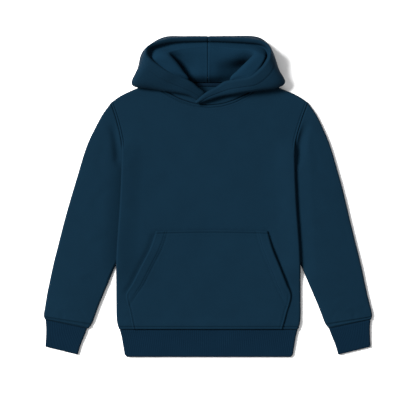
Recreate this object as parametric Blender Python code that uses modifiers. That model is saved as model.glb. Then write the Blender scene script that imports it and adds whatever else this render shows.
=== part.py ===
"""Toddler pullover hoodie of brushed fleece, laid flat on its back, built piece by piece as it is sewn.

Metres, +Z up. The garment rests on z = 0 with its hem towards -Y and its hood towards +Y.
"left" and "right" are the wearer's, so the wearer's left is at +X.
Tables give millimetres, because that is how a pattern is measured, and every builder multiplies them by MM.
"""

import math
from collections import namedtuple

import bpy
from mathutils import Vector

MM = 0.001
MIDDLE_Y = 0.205  # half way along the whole garment in the tables' frame, which is put at y = 0

# Cloth and seams.
FLEECE = 2.0  # wall of the brushed fleece
RIB_WALL = 2.6  # wall of the folded rib at hem and cuffs
LINING_WALL = 1.6
TAPE_WALL = 1.4
SEAM_GAP = 0.3  # between two pieces where they are sewn together
HALF_GAP = SEAM_GAP / 2

# Body, laid flat: two panels on each other.
FLAT_HEIGHT = 7.4  # front over back, both walls and the air between them
HEM_SEAM_Y = -212.4
SHOULDER_X, SHOULDER_Y = 158.0, 151.2  # where shoulder, armhole and sleeve meet
NECK_X, NECK_Y = 88.0, 184.5  # where shoulder and neckline meet
NECK_FRONT_Y, NECK_FRONT_X = 147.3, 3.0  # lowest point of the front neckline
NECK_BACK_DIP = 0.8
NECK_COLUMNS = 8

# The body's sides lie on the tucked inner edges of the sleeves.
TUCK_LIFT = 4.8  # how far the back panel's edge is raised by the sleeve under it
TUCK_HEIGHT = 11.2  # top of the body's edge there
TUCK_SLEEVE = 4.4  # the sleeve's flattened inner edge
LIFT_REACH = 36.0  # how far in from the body's edge the lift begins
THIN_REACH = 20.0  # how far out from the body's edge the sleeve is thinner
TUCK_START = (98.0, 72.0)  # y where the tuck starts and is full
TUCK_END = (-96.0, -136.0)  # y where it begins to fade and is gone

# Ribbing.
HEM_RIBS = 88  # ribs across the front of the hem band
CUFF_RIBS = 20
RIB_RELIEF = 0.45
HEM_BAND_HEIGHT = (6.9, 6.3)  # at the seam and at the lower edge
CUFF_HEIGHT = (7.0, 6.3)

# The hem band's sides.
HemRow = namedtuple("HemRow", "y half_width")
HEM_BAND = [
    HemRow(HEM_SEAM_Y - HALF_GAP, 142.6),
    HemRow(-224.0, 139.8),
    HemRow(-246.0, 136.0),
    HemRow(-252.6, 134.8),
    HemRow(-256.3, 131.6),
]

# The body's side below the armhole, then the armhole seam itself.
EdgeRow = namedtuple("EdgeRow", "y half_width")
BODY_EDGE = [
    EdgeRow(HEM_SEAM_Y, 143.2),
    EdgeRow(-206.0, 145.6),
    EdgeRow(-197.0, 147.2),
    EdgeRow(-184.0, 147.8),
    EdgeRow(-116.8, 147.8),
    EdgeRow(-84.8, 146.8),
    EdgeRow(-52.8, 144.6),
    EdgeRow(-4.8, 141.2),
    EdgeRow(27.2, 139.8),
    EdgeRow(60.0, 138.8),
    EdgeRow(66.0, 138.6),
    EdgeRow(75.2, 138.8),
    EdgeRow(88.0, 139.8),
    EdgeRow(102.4, 142.6),
    EdgeRow(116.0, 146.2),
    EdgeRow(128.0, 149.8),
    EdgeRow(SHOULDER_Y, SHOULDER_X),
]
# The sleeve's own edge at the armhole: along the body's edge down to the armpit, then on under the body.
ARMHOLE_UNDER = [EdgeRow(14.0, 134.6), EdgeRow(34.0, 134.9), EdgeRow(50.0, 136.4)]
ARMHOLE_MEETS = 60.0  # below this y the sleeve runs under the body
ShoulderRow = namedtuple("ShoulderRow", "x y")
SHOULDER = [
    ShoulderRow(NECK_X, NECK_Y),
    ShoulderRow(121.6, 171.5),
    ShoulderRow(142.4, 161.9),
    ShoulderRow(SHOULDER_X, SHOULDER_Y),
]

# The garment lies a little askew: how far each height is moved towards the wearer's left.
LeanRow = namedtuple("LeanRow", "y body sleeve")
LEAN = [
    LeanRow(-256.0, 1.3, 0.0),
    LeanRow(-190.0, 0.9, 0.0),
    LeanRow(-150.0, 0.6, -1.4),
    LeanRow(-50.0, 0.4, -1.2),
    LeanRow(30.0, 0.4, 0.4),
    LeanRow(66.0, 0.6, 0.6),
    LeanRow(SHOULDER_Y, 2.3, 2.3),
    LeanRow(NECK_Y, 0.0, 0.0),
]

# Sleeve rings, from the armhole to the cuff seam: the outer and the inner edge of the flat sleeve.
SleeveRow = namedtuple("SleeveRow", "outer_x outer_y inner_x inner_y")
SLEEVE = [
    SleeveRow(SHOULDER_X + SEAM_GAP, SHOULDER_Y, 134.6, 14.0),
    SleeveRow(172.0, 131.0, 135.6, 2.0),
    SleeveRow(184.8, 104.0, 137.0, -14.0),
    SleeveRow(196.2, 75.0, 138.8, -32.0),
    SleeveRow(208.5, 38.0, 141.2, -54.0),
    SleeveRow(218.2, 4.0, 143.6, -74.0),
    SleeveRow(228.6, -36.0, 146.6, -96.0),
    SleeveRow(237.6, -72.0, 151.4, -116.6),
    SleeveRow(246.4, -107.0, 159.6, -136.0),
    SleeveRow(252.6, -136.0, 167.8, -155.2),
    SleeveRow(258.4, -164.0, 175.8, -174.4),
    SleeveRow(261.8, -184.0, 182.4, -192.0),
    SleeveRow(262.0, -191.0, 186.8, -203.0),
    SleeveRow(259.6, -196.0, 191.8, -211.0),
]
BOW_RINGS = 3  # rings over which the armhole's curve straightens

CuffRow = namedtuple("CuffRow", "outer_x outer_y inner_x inner_y")
CUFF = [
    CuffRow(258.8, -196.5, 193.4, -211.0),
    CuffRow(258.9, -210.0, 199.0, -224.5),
    CuffRow(259.8, -224.0, 204.4, -238.0),
    CuffRow(260.4, -237.8, 209.2, -250.8),
]

# Kangaroo pocket, which sits a little to the wearer's left.
POCKET_TOP_Y = -54.4
POCKET_CORNER_Y = -158.5
POCKET_BOTTOM_Y = -211.4
PocketRow = namedtuple("PocketRow", "y right_x left_x")
POCKET = [
    PocketRow(POCKET_BOTTOM_Y, -120.5, 119.0),
    PocketRow(-184.0, -126.0, 126.6),
    PocketRow(POCKET_CORNER_Y, -131.8, 133.2),
    PocketRow(-139.0, -121.6, 125.6),
    PocketRow(-112.0, -108.0, 115.0),
    PocketRow(-82.0, -92.8, 103.0),
    PocketRow(-66.0, -87.0, 98.4),
    PocketRow(POCKET_TOP_Y, -83.4, 95.6),
]
POCKET_GAPE = 2.8  # how far the two openings stand off the front
POCKET_GAPE_REACH = 20.0

# Hood. Each side is a fan of sections round the neck, from its front tip to the seam on the middle of the
# crown. "rim" is the free edge's inner side, "fold" the lowest outer fold, "brow" where the lining rises
# beside the free edge and "lip" where it turns down into the hood.
HoodHeight = namedtuple(
    "HoodHeight",
    "tuck_share tuck_in tuck_rise turn_rise fold_z rim_z reach fall crease_z brow_z crest_z lip_z "
    "nose_fall under_fall valley_at valley_z heel_z",
)
HOOD_HEIGHTS = [
    HoodHeight(1.0, 1.4, 0.6, 1.6, 10.6, 14.4, 3.0, 3.0, 0, 0, 0, 0, 0, 0, 0, 0, 0),
    HoodHeight(1.0, 2.0, 0.8, 2.2, 11.6, 16.8, 3.0, 3.0, 0, 0, 0, 0, 0, 0, 0, 0, 0),
    HoodHeight(1.0, 3.0, 1.2, 3.4, 14.0, 21.6, 3.1, 3.1, 0, 0, 0, 0, 0, 0, 0, 0, 0),
    HoodHeight(0.9, 3.6, 2.4, 5.2, 16.6, 27.6, 3.2, 3.2, 0, 0, 0, 0, 0, 0, 0, 0, 0),
    HoodHeight(0.4, 1.6, 3.6, 7.0, 18.4, 32.8, 3.2, 1.4, 31.2, 31.6, 31.8, 30.4, 3.2, 7.0, 0.5, 10.0, 7.5),
    HoodHeight(0.3, 0.0, 3.2, 6.8, 19.6, 38.4, 3.4, 2.0, 36.0, 36.8, 37.2, 35.0, 3.2, 7.0, 0.5, 11.0, 8.0),
    HoodHeight(0.5, 0.0, 4.0, 8.4, 20.0, 42.4, 3.6, 3.2, 38.4, 40.0, 40.6, 38.4, 3.2, 7.0, 0.45, 11.4, 8.0),
    HoodHeight(0, 0, 0, 0, 19.6, 45.0, 4.0, 5.0, 36.4, 40.8, 41.8, 39.6, 3.2, 7.4, 0.4, 12.0, 8.4),
    HoodHeight(0, 0, 0, 0, 18.6, 46.0, 4.0, 5.6, 29.0, 40.4, 41.8, 39.4, 3.0, 7.4, 0.4, 13.4, 9.6),
    HoodHeight(0, 0, 0, 0, 17.6, 45.2, 3.8, 5.6, 25.0, 38.6, 40.4, 38.4, 2.2, 6.0, 0.42, 17.0, 12.0),
    HoodHeight(0, 0, 0, 0, 17.0, 43.4, 3.6, 5.6, 26.0, 36.6, 38.2, 37.0, 1.5, 4.4, 0.45, 21.6, 15.0),
    HoodHeight(0, 0, 0, 0, 17.0, 41.0, 3.6, 5.4, 27.6, 34.4, 36.0, 35.2, 1.0, 3.2, 0.5, 24.8, 17.4),
    HoodHeight(0, 0, 0, 0, 17.0, 39.2, 3.6, 5.2, 28.8, 33.0, 34.2, 33.8, 0.7, 2.4, 0.5, 26.4, 18.6),
    HoodHeight(0, 0, 0, 0, 17.0, 38.6, 3.6, 5.0, 29.4, 32.8, 33.8, 33.4, 0.6, 2.2, 0.5, 26.8, 19.0),
]
SLOW_SECTION = 9  # from this one on the lining falls slowly from its lip, at the back of the hood
TURNED_UNDER = 4  # sections before this one have no lining in sight: it lies under the shell
HoodPlan = namedtuple("HoodPlan", "neck_x fold_x fold_y rim_x rim_y brow_x brow_y lip_x lip_y")
HOOD_RIGHT = [
    HoodPlan(-12.2, -15.2, 153.2, -6.4, 162.8, 0, 0, -8.4, 156.6),
    HoodPlan(-20.0, -20.4, 156.0, -5.2, 167.2, 0, 0, -12.4, 162.6),
    HoodPlan(-31.0, -30.6, 161.8, -14.2, 174.2, 0, 0, -21.0, 169.8),
    HoodPlan(-46.0, -46.6, 165.6, -25.2, 183.2, 0, 0, -28.6, 181.4),
    HoodPlan(-60.0, -67.0, 168.2, -43.0, 191.0, -38.8, 191.2, -27.8, 190.4),
    HoodPlan(-73.0, -91.0, 172.0, -60.6, 198.0, -56.4, 199.2, -34.4, 200.6),
    HoodPlan(-83.0, -116.4, 175.4, -77.6, 209.2, -75.2, 210.4, -43.4, 214.4),
    HoodPlan(-88.4, -121.8, 184.6, -88.4, 218.0, -84.6, 218.8, -50.4, 222.4),
    HoodPlan(-76.0, -112.6, 205.6, -94.4, 226.4, -79.6, 227.0, -56.4, 228.6),
    HoodPlan(-60.0, -105.0, 229.0, -92.8, 236.2, -73.4, 234.6, -57.4, 232.0),
    HoodPlan(-43.0, -91.2, 243.4, -81.0, 244.2, -60.0, 238.4, -49.4, 233.6),
    HoodPlan(-27.0, -66.0, 254.8, -57.0, 248.4, -44.0, 242.2, -36.4, 235.2),
    HoodPlan(-13.0, -33.0, 256.6, -29.0, 248.8, -24.0, 245.6, -18.6, 236.6),
    HoodPlan(-HALF_GAP, -HALF_GAP, 256.6, -HALF_GAP, 249.0, -HALF_GAP, 247.2, -HALF_GAP, 237.4),
]
HOOD_LEFT = [
    HoodPlan(-9.4, -12.4, 149.6, -20.8, 152.2, 0, 0, -18.4, 151.6),
    HoodPlan(4.0, 3.4, 155.2, -4.4, 166.0, 0, 0, -1.8, 162.4),
    HoodPlan(24.0, 23.0, 161.0, 13.4, 176.0, 0, 0, 17.6, 171.4),
    HoodPlan(41.0, 39.6, 164.8, 26.2, 184.4, 0, 0, 29.0, 182.2),
    HoodPlan(56.0, 59.4, 169.0, 45.6, 187.4, 41.8, 188.6, 31.4, 192.6),
    HoodPlan(70.0, 82.4, 172.4, 66.6, 191.4, 62.8, 193.6, 40.0, 202.6),
    HoodPlan(81.0, 112.0, 175.2, 81.0, 202.4, 79.0, 203.8, 49.4, 212.4),
    HoodPlan(88.4, 123.2, 184.2, 89.0, 212.4, 87.0, 213.4, 57.4, 220.0),
    HoodPlan(76.0, 113.6, 203.4, 94.4, 223.6, 91.2, 222.8, 64.6, 227.0),
    HoodPlan(60.0, 105.0, 227.4, 93.2, 234.8, 87.0, 231.4, 66.4, 231.0),
    HoodPlan(43.0, 92.0, 243.4, 83.0, 244.4, 74.6, 239.6, 59.6, 233.4),
    HoodPlan(27.0, 68.0, 254.8, 59.0, 248.4, 51.6, 242.0, 42.6, 234.4),
    HoodPlan(13.0, 34.0, 256.6, 30.0, 248.8, 25.4, 244.0, 21.0, 236.4),
    HoodPlan(HALF_GAP, HALF_GAP, 256.6, HALF_GAP, 249.0, HALF_GAP, 247.2, HALF_GAP, 237.4),
]
# The wearer's left front edge of the hood lies on the right one. By section: how much its shell is raised,
# whether its lining ends at the shell's own sewn edge, and how high that end is above the seam.
OverlapRow = namedtuple("OverlapRow", "shell short neck_rise")
OVERLAP = [OverlapRow(7.9, True, 8.2), OverlapRow(6.2, True, -2.4), OverlapRow(2.4, False, 0.0)]
HOOD_HEM = 18.0  # from the free edge to the hem's topstitching
HOOD_FRONT_SECTIONS = 6.5  # sections before this one are sewn to the front, later ones to the back
HOOD_ROWS = 27
OUTER_STEPS = [1, 1, 2, 1, 2, 2, 1, 1]  # mesh columns between a section's guide points
LINING_STEPS = [1] * 13


def ramp(value, start, end):
    """0 at start, 1 at end, with a smooth slope between them."""
    t = min(1.0, max(0.0, (value - start) / (end - start)))
    return t * t * (3 - 2 * t)


def catmull(a, b, c, d, t):
    """The point at t between b and c of a curve that runs through all four."""
    return 0.5 * (
        2 * b + (c - a) * t + (2 * a - 5 * b + 4 * c - d) * t * t + (3 * b - a - 3 * c + d) * t ** 3
    )


def along(values, position):
    """The value at a position, from 0 to len - 1, of an evenly spaced smooth curve through values."""
    last = len(values) - 1
    i = min(last - 1, max(0, int(position)))
    before = values[i - 1] if i > 0 else 2 * values[0] - values[1]
    after = values[i + 2] if i + 2 <= last else 2 * values[last] - values[last - 1]
    return catmull(before, values[i], values[i + 1], after, position - i)


def curve_point(points, i, t):
    """The point at t between guides i and i + 1 of a smooth curve, whose slopes allow for uneven spacing."""
    spans = [max(0.3, (b - a).length) for a, b in zip(points, points[1:])]

    def slope(k):
        if k == 0:
            return (points[1] - points[0]) / spans[0]
        if k == len(points) - 1:
            return (points[-1] - points[-2]) / spans[-1]
        before = (points[k] - points[k - 1]) / spans[k - 1]
        after = (points[k + 1] - points[k]) / spans[k]
        return (before * spans[k] + after * spans[k - 1]) / (spans[k - 1] + spans[k])

    span = spans[i]
    start, end = slope(i) * span, slope(i + 1) * span
    square, cube = t * t, t * t * t
    return (
        points[i] * (2 * cube - 3 * square + 1)
        + start * (cube - 2 * square + t)
        + points[i + 1] * (3 * square - 2 * cube)
        + end * (cube - square)
    )


def at_height(rows, column, key, value):
    """Reads a table's column at a value of its key column, which rises, by straight lines."""
    if value <= getattr(rows[0], key):
        return getattr(rows[0], column)
    for low, high in zip(rows, rows[1:]):
        if value <= getattr(high, key):
            t = (value - getattr(low, key)) / (getattr(high, key) - getattr(low, key))
            return getattr(low, column) * (1 - t) + getattr(high, column) * t
    return getattr(rows[-1], column)


def material(name, colour, roughness):
    made = bpy.data.materials.new(name)
    made.use_nodes = True
    shader = made.node_tree.nodes["Principled BSDF"]
    shader.inputs["Base Color"].default_value = (*colour, 1.0)
    shader.inputs["Roughness"].default_value = roughness
    shader.inputs["Metallic"].default_value = 0.0
    made.diffuse_color = (*colour, 1.0)
    return made


def add_mesh(name, points, faces, finish, collection):
    """One object from points in millimetres."""
    mesh = bpy.data.meshes.new(name)
    mesh.from_pydata([(Vector(p) - Vector((0, MIDDLE_Y, 0))) * MM for p in points], [], faces)
    mesh.validate()
    mesh.materials.append(finish)
    mesh.shade_smooth()
    mesh.set_sharp_from_angle(angle=math.radians(50))
    made = bpy.data.objects.new(name, mesh)
    collection.objects.link(made)
    return made


def sheet_wall(name, rows, wall, finish, collection, flip=False):
    """A cloth wall: rows of points make its outer surface, and Solidify gives it its thickness inwards."""
    columns = len(rows[0])
    points = [p for row in rows for p in row]
    faces = []
    for i in range(len(rows) - 1):
        for j in range(columns - 1):
            a = i * columns + j
            face = (a, a + 1, a + columns + 1, a + columns)
            faces.append(face[::-1] if flip else face)
    made = add_mesh(name, points, faces, finish, collection)
    solidify = made.modifiers.new("wall", "SOLIDIFY")
    solidify.thickness = wall * MM
    solidify.offset = -1.0
    solidify.use_even_offset = False
    return made


def tube_wall(name, outer_rings, inner_rings, finish, collection, flip=False):
    """A tube of cloth, open at both ends, from matching outer and inner rings."""
    count = len(outer_rings[0])
    last = len(outer_rings) - 1
    rings = [*outer_rings, *inner_rings]
    points = [p for ring in rings for p in ring]
    faces = []

    def strip(first, second):
        for k in range(count):
            n = (k + 1) % count
            face = (first * count + k, first * count + n, second * count + n, second * count + k)
            faces.append(face[::-1] if flip else face)

    for i in range(last):
        strip(i, i + 1)
        strip(last + 1 + i + 1, last + 1 + i)
    strip(last + 1, 0)
    strip(last, 2 * last + 1)
    return add_mesh(name, points, faces, finish, collection)


# --- body -----------------------------------------------------------------------------------------


def half_width(y):
    return at_height(BODY_EDGE, "half_width", "y", y)


def lean(y, piece):
    return at_height(LEAN, piece, "y", y)


def armhole_x(y):
    """The sleeve's side of the armhole seam, which runs on under the body's edge."""
    if y >= ARMHOLE_MEETS:
        return half_width(y) + SEAM_GAP
    rows = [*ARMHOLE_UNDER, EdgeRow(ARMHOLE_MEETS, half_width(ARMHOLE_MEETS))]
    return at_height(rows, "half_width", "y", y)


def front_curve(x):
    reach = NECK_X - NECK_FRONT_X if x > NECK_FRONT_X else NECK_X + NECK_FRONT_X
    return NECK_FRONT_Y + (NECK_Y - NECK_FRONT_Y) * ((x - NECK_FRONT_X) / reach) ** 2


def back_curve(x):
    return NECK_Y - NECK_BACK_DIP * (1 - (x / NECK_X) ** 2)


def neckline(x, curve):
    """A neckline as its panel has it, straight between the panel's columns."""
    spacing = 2 * NECK_X / NECK_COLUMNS
    i = min(NECK_COLUMNS - 1, max(0, math.floor((x + NECK_X) / spacing)))
    start = i * spacing - NECK_X
    t = (x - start) / spacing
    return curve(start) * (1 - t) + curve(start + spacing) * t


def shoulder_round(x):
    """1 where front and back meet at the shoulder, falling to 0 along the neckline, where they part."""
    return ramp(abs(x), NECK_X - 22, NECK_X + 9.5)


def top_edge(x, curve):
    """The upper edge of a panel: shoulder, neckline, shoulder."""
    if abs(x) < NECK_X:
        return neckline(x, curve)
    return at_height(SHOULDER, "y", "x", abs(x))


def tucked(y):
    """1 where the body's side lies on the sleeve, 0 above and below."""
    return ramp(y, *TUCK_START) * (1 - ramp(y, *TUCK_END))


def front_top(x, y, side_distance):
    """The front panel's upper surface away from its edges."""
    lift = (TUCK_HEIGHT - FLAT_HEIGHT) * tucked(y) * (1 - ramp(side_distance, 0, LIFT_REACH))
    blouse = 0.9 * math.exp(-(((y - HEM_SEAM_Y - 8.0) / 8.0) ** 2))
    drape = 0.22 * math.sin(x * 0.031 + 0.8) * math.cos(y * 0.024) + 0.12 * math.cos(x * 0.011 - y * 0.043)
    return FLAT_HEIGHT + lift + blouse + drape * (1 - ramp(y, 110, 140)) * ramp(side_distance, 2, 24)


# A round edge, from the seam up: share of its radius in from the edge, and of its fall.
RollStep = namedtuple("RollStep", "inset fall")
ROLL = [RollStep(0.0, 1.0), RollStep(0.02, 0.6), RollStep(0.32, 0.18), RollStep(1.0, 0.0)]
EDGE_MARGIN = [12.0, 24.0, 40.0]  # columns beside a round side
PANEL_MIDDLE = [SHOULDER_X - EDGE_MARGIN[-1], 98.0] + [NECK_X * (1 - k / 4) for k in range(NECK_COLUMNS + 1)]
PANEL_MIDDLE += [-PANEL_MIDDLE[1], -PANEL_MIDDLE[0]]
TOP_MARGIN = [22.0, 9.0]  # rows below the upper edge
SIDE_LEVELS = [
    HEM_SEAM_Y + HALF_GAP,
    -209.0,
    -204.4,
    -199.0,
    -184.0,
    -158.0,
    -137.0,
    -124.0,
    -108.0,
    -95.0,
    -75.0,
    -40.0,
    -4.8,
    27.2,
    50.0,
    60.0,
    66.0,
    75.2,
    88.0,
    102.4,
    116.0,
]


def panel_columns():
    """(side, step of its edge, distance in from it, share of the middle), from right to left."""
    edge = [(step, 0.0) for step in range(len(ROLL))] + [(None, distance) for distance in EDGE_MARGIN[:-1]]
    right = [(-1, step, distance, 0.0) for step, distance in edge]
    left = [(1, step, distance, 0.0) for step, distance in reversed(edge)]
    middle = [(0, None, 0.0, x / PANEL_MIDDLE[0]) for x in reversed(PANEL_MIDDLE)]
    return right + middle + left


def edge_radius(y):
    """Half the thickness of the folded side of the body."""
    tuck = tucked(y)
    return (TUCK_HEIGHT - TUCK_LIFT) / 2 * tuck + FLAT_HEIGHT / 2 * (1 - tuck)


def body_panel(front):
    """Rows of points of the front's upper surface, or of the back's underside."""
    curve = front_curve if front else back_curve
    bottom = SIDE_LEVELS[0]
    side_lowest = SHOULDER_Y - TOP_MARGIN[0]
    rows = []
    for level in SIDE_LEVELS:
        share = (level - bottom) / (side_lowest - bottom)
        rows.append([body_point(front, column, curve, share=share) for column in panel_columns()])
    for below in TOP_MARGIN:
        rows.append([body_point(front, column, curve, below=below) for column in panel_columns()])
    for step in range(len(ROLL) - 1, -1, -1):
        rows.append([body_point(front, column, curve, below=0.0, step=step) for column in panel_columns()])
    return rows


def rolled_gap(rounded):
    """Half the gap between front and back at their edge, a little wider where the rolled edge fades."""
    return HALF_GAP + 0.09 * rounded + 1.3 * rounded * (1 - rounded)


def edge_step(step, rounded):
    """(inset, fall) of a step of a panel's edge, in shares of its radius: round, or cut square at a seam."""
    even = step / (len(ROLL) - 1)
    return ROLL[step].inset * rounded + even * (1 - rounded), ROLL[step].fall * rounded


def body_point(front, column, curve, share=None, below=None, step=None):
    """One point of a body panel: its row is a share of the height, or a step below the upper edge."""
    side, side_step, distance, middle = column
    if side:
        inset = distance if side_step is None else edge_step(side_step, 0.0)[0] * FLAT_HEIGHT / 2
        x_top = side * (SHOULDER_X - inset)
    else:
        x_top = middle * PANEL_MIDDLE[0]
    y_top = top_edge(x_top, curve)
    top_fall, top_round = 0.0, 0.0
    if step is not None:
        top_round = shoulder_round(x_top)
        inset, top_fall = edge_step(step, top_round)
        below = inset * FLAT_HEIGHT / 2
    if below is None:
        y = SIDE_LEVELS[0] + (y_top - TOP_MARGIN[0] - SIDE_LEVELS[0]) * share
    else:
        y = y_top - below
    radius = edge_radius(y)
    half = half_width(y)
    side_fall, side_round = 0.0, 0.0
    if side_step is not None:
        side_round = ramp(y, 102.0, 84.0)
        inset, side_fall = edge_step(side_step, side_round)
        x = side * (half - inset * radius)
    elif side:
        x = side * (half - distance)
    else:
        x = middle * (half - EDGE_MARGIN[-1])
    inset = half - abs(x)
    drop = max(side_fall * (radius - rolled_gap(side_round)), top_fall * (radius - rolled_gap(top_round)))
    x += lean(y, "body") * ramp(abs(x), 70.0, 130.0)
    if front:
        return (x, y, front_top(x, y, inset) - drop)
    lift = TUCK_LIFT * tucked(y) * (1 - ramp(inset, 0, LIFT_REACH))
    return (x, y, lift + drop)


def build_body(finish, collection):
    sheet_wall("front_body", body_panel(True), FLEECE, finish, collection)
    sheet_wall("back_body", body_panel(False), FLEECE, finish, collection, flip=True)


# --- sleeves and ribs --------------------------------------------------------------------------------

SLEEVE_SHARES = [0.03, 0.17, 0.2585, 0.3556, 0.4606, 0.5539, 0.621, 0.6647, 0.738, 0.855, 0.975]


def flat_ring(width, height, inner_height, shares, inset):
    """(distance from the outer edge, z) round a flattened tube, over its top to the inner edge and back."""
    outer_radius = height / 2 - inset
    inner_radius = inner_height / 2 - inset
    first, last = height / 2, width - inner_height / 2
    ring = []
    for angle in (180, 135):
        turn = math.radians(angle)
        ring.append((first + outer_radius * math.cos(turn), height / 2 + outer_radius * math.sin(turn)))
    ring += [(first + (last - first) * share, height - inset) for share in shares]
    for angle in (45, 0, -45):
        turn = math.radians(angle)
        ring.append((last + inner_radius * math.cos(turn), inner_height / 2 + inner_radius * math.sin(turn)))
    ring += [(first + (last - first) * share, inset) for share in reversed(shares)]
    turn = math.radians(225)
    ring.append((first + outer_radius * math.cos(turn), height / 2 + outer_radius * math.sin(turn)))
    return ring


def on_line(ring, outer, inner):
    """Lays a flat ring along a line of the plan."""
    outer, inner = Vector(outer), Vector(inner)
    width = (inner - outer).length
    return [(*(outer + (inner - outer) * (distance / width)), z) for distance, z in ring]


def sleeve_top(x, y):
    """How much the sleeve is thinned under and beside the body's edge."""
    return (FLAT_HEIGHT - TUCK_SLEEVE) * tucked(y) * (1 - ramp(x - half_width(y), 0, THIN_REACH))


def sleeve_rings(inset):
    rings = []
    for i, row in enumerate(SLEEVE):
        outer, inner = (row.outer_x, row.outer_y), (row.inner_x, row.inner_y)
        width = (Vector(outer) - Vector(inner)).length
        thin = FLAT_HEIGHT - sleeve_top(*inner)
        blend = max(0.0, 1 - i / BOW_RINGS) ** 1.5
        ring = []
        for x, y, z in on_line(flat_ring(width, FLAT_HEIGHT, thin, SLEEVE_SHARES, inset), outer, inner):
            if z > FLAT_HEIGHT / 2:
                z = min(z, FLAT_HEIGHT - sleeve_top(x, y) - inset)
            line_x = SLEEVE[0].outer_x + (SLEEVE[0].inner_x - SLEEVE[0].outer_x) * (
                (SLEEVE[0].outer_y - y) / (SLEEVE[0].outer_y - SLEEVE[0].inner_y)
            )
            bow = armhole_x(y) - line_x if SLEEVE[0].inner_y <= y <= SLEEVE[0].outer_y else 0.0
            ring.append((x + bow * blend, y, z))
        rings.append(ring)
    return rings


def mirrored(rings, side):
    return [[(side * x + lean(y, "sleeve"), y, z) for x, y, z in ring] for ring in rings]


def build_sleeve(side, finish, collection):
    name = "sleeve_left" if side > 0 else "sleeve_right"
    outer = mirrored(sleeve_rings(0.0), side)
    inner = mirrored(sleeve_rings(FLEECE), side)
    tube_wall(name, outer, inner, finish, collection, flip=side < 0)


def ribbed_ring(width, height, ribs, inset, outer, inner):
    """A flat ring with ribs raised on its upper side; the side that lies down, and the inside, are plain."""
    shares = [k / (2 * ribs) for k in range(2 * ribs + 1)]
    ring = flat_ring(width, height, height, shares, inset)
    if inset == 0:
        for k in range(1, 2 * ribs, 2):
            distance, z = ring[2 + k]
            ring[2 + k] = (distance, z - RIB_RELIEF)
    return on_line(ring, outer, inner)


def cuff_rings(inset):
    rings = []
    for i, row in enumerate(CUFF):
        outer, inner = (row.outer_x, row.outer_y), (row.inner_x, row.inner_y)
        width = (Vector(outer) - Vector(inner)).length
        share = i / (len(CUFF) - 1)
        height = CUFF_HEIGHT[0] * (1 - share) + CUFF_HEIGHT[1] * share
        rings.append(ribbed_ring(width, height, CUFF_RIBS, inset, outer, inner))
    return rings


def build_cuff(side, finish, collection):
    name = "cuff_left" if side > 0 else "cuff_right"
    outer = mirrored(cuff_rings(0.0), side)
    inner = mirrored(cuff_rings(RIB_WALL), side)
    tube_wall(name, outer, inner, finish, collection, flip=side < 0)


def hem_rings(inset):
    rings = []
    for row in HEM_BAND:
        share = (row.y - HEM_BAND[0].y) / (HEM_BAND[-1].y - HEM_BAND[0].y)
        height = HEM_BAND_HEIGHT[0] * (1 - share) + HEM_BAND_HEIGHT[1] * share
        middle = lean(row.y, "body")
        outer, inner = (middle + row.half_width, row.y), (middle - row.half_width, row.y)
        rings.append(ribbed_ring(2 * row.half_width, height, HEM_RIBS, inset, outer, inner))
    return rings


def build_hem(finish, collection):
    tube_wall("hem_band", hem_rings(0.0), hem_rings(RIB_WALL), finish, collection)


# --- pocket -------------------------------------------------------------------------------------------

POCKET_LEVELS = [POCKET_BOTTOM_Y, -209.0, -204.4, -199.0, -184.0, -158.5, -148.0, -137.0, -124.0, -108.0]
POCKET_LEVELS += [-95.0, -75.0, -62.0]
POCKET_COLUMNS = 15


def pocket_point(x, y, from_opening):
    """A point of the pocket's upper surface: the front's own, moved out, and gaping at its openings."""
    stand = SEAM_GAP + 0.1 + FLEECE
    below_corner = ramp(y, POCKET_CORNER_Y - 2, POCKET_CORNER_Y + 34)
    below_top = 1 - ramp(y, POCKET_TOP_Y - 40, POCKET_TOP_Y - 4)
    gape = POCKET_GAPE * below_corner * below_top * math.exp(-((from_opening / POCKET_GAPE_REACH) ** 2))
    return (x, y, front_top(x, y, half_width(y) - abs(x)) + stand + gape)


def build_pocket(finish, collection):
    rows = []
    for y in [*POCKET_LEVELS, POCKET_TOP_Y]:
        right = at_height(POCKET, "right_x", "y", y)
        left = at_height(POCKET, "left_x", "y", y)
        row = []
        for k in range(POCKET_COLUMNS):
            share = 0.5 - 0.5 * math.cos(math.pi * k / (POCKET_COLUMNS - 1))
            x = right + (left - right) * share
            row.append(pocket_point(x, y, min(x - right, left - x)))
        rows.append(row)
    sheet_wall("pocket", rows, FLEECE, finish, collection)


# --- hood ---------------------------------------------------------------------------------------------


def neck_point(section, x):
    """Where a section of the hood's shell is sewn to the neckline."""
    if section < HOOD_FRONT_SECTIONS:
        y = neckline(x, front_curve) + SEAM_GAP + 0.15
        return Vector((x, y, front_top(x, y, half_width(y) - abs(x)) + SEAM_GAP + 0.1))
    return Vector((x, neckline(x, back_curve) + SEAM_GAP, 0.0))


def raised(point, z):
    return Vector((point.x, point.y, z))


def beside_shoulder(p):
    """Moves a low point of the shell back past the shoulder and its corner at the neck."""
    if p.z > FLAT_HEIGHT + SEAM_GAP or abs(p.x) < NECK_X - 12 or p.y > NECK_Y:
        return p
    x = math.copysign(max(abs(p.x), NECK_X), p.x)
    return Vector((x, max(p.y, top_edge(x, front_curve) + 3 * SEAM_GAP), p.z))


def rim_normal(plans, section, side):
    """The level direction square to the free edge, into the hood."""
    before, after = plans[max(0, section - 1)], plans[min(len(plans) - 1, section + 1)]
    run = Vector((after.rim_x - before.rim_x, after.rim_y - before.rim_y, 0))
    if section == len(plans) - 1:
        run = Vector((-side, 0, 0))
    return Vector((side * -run.y, side * run.x, 0)).normalized()


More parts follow.
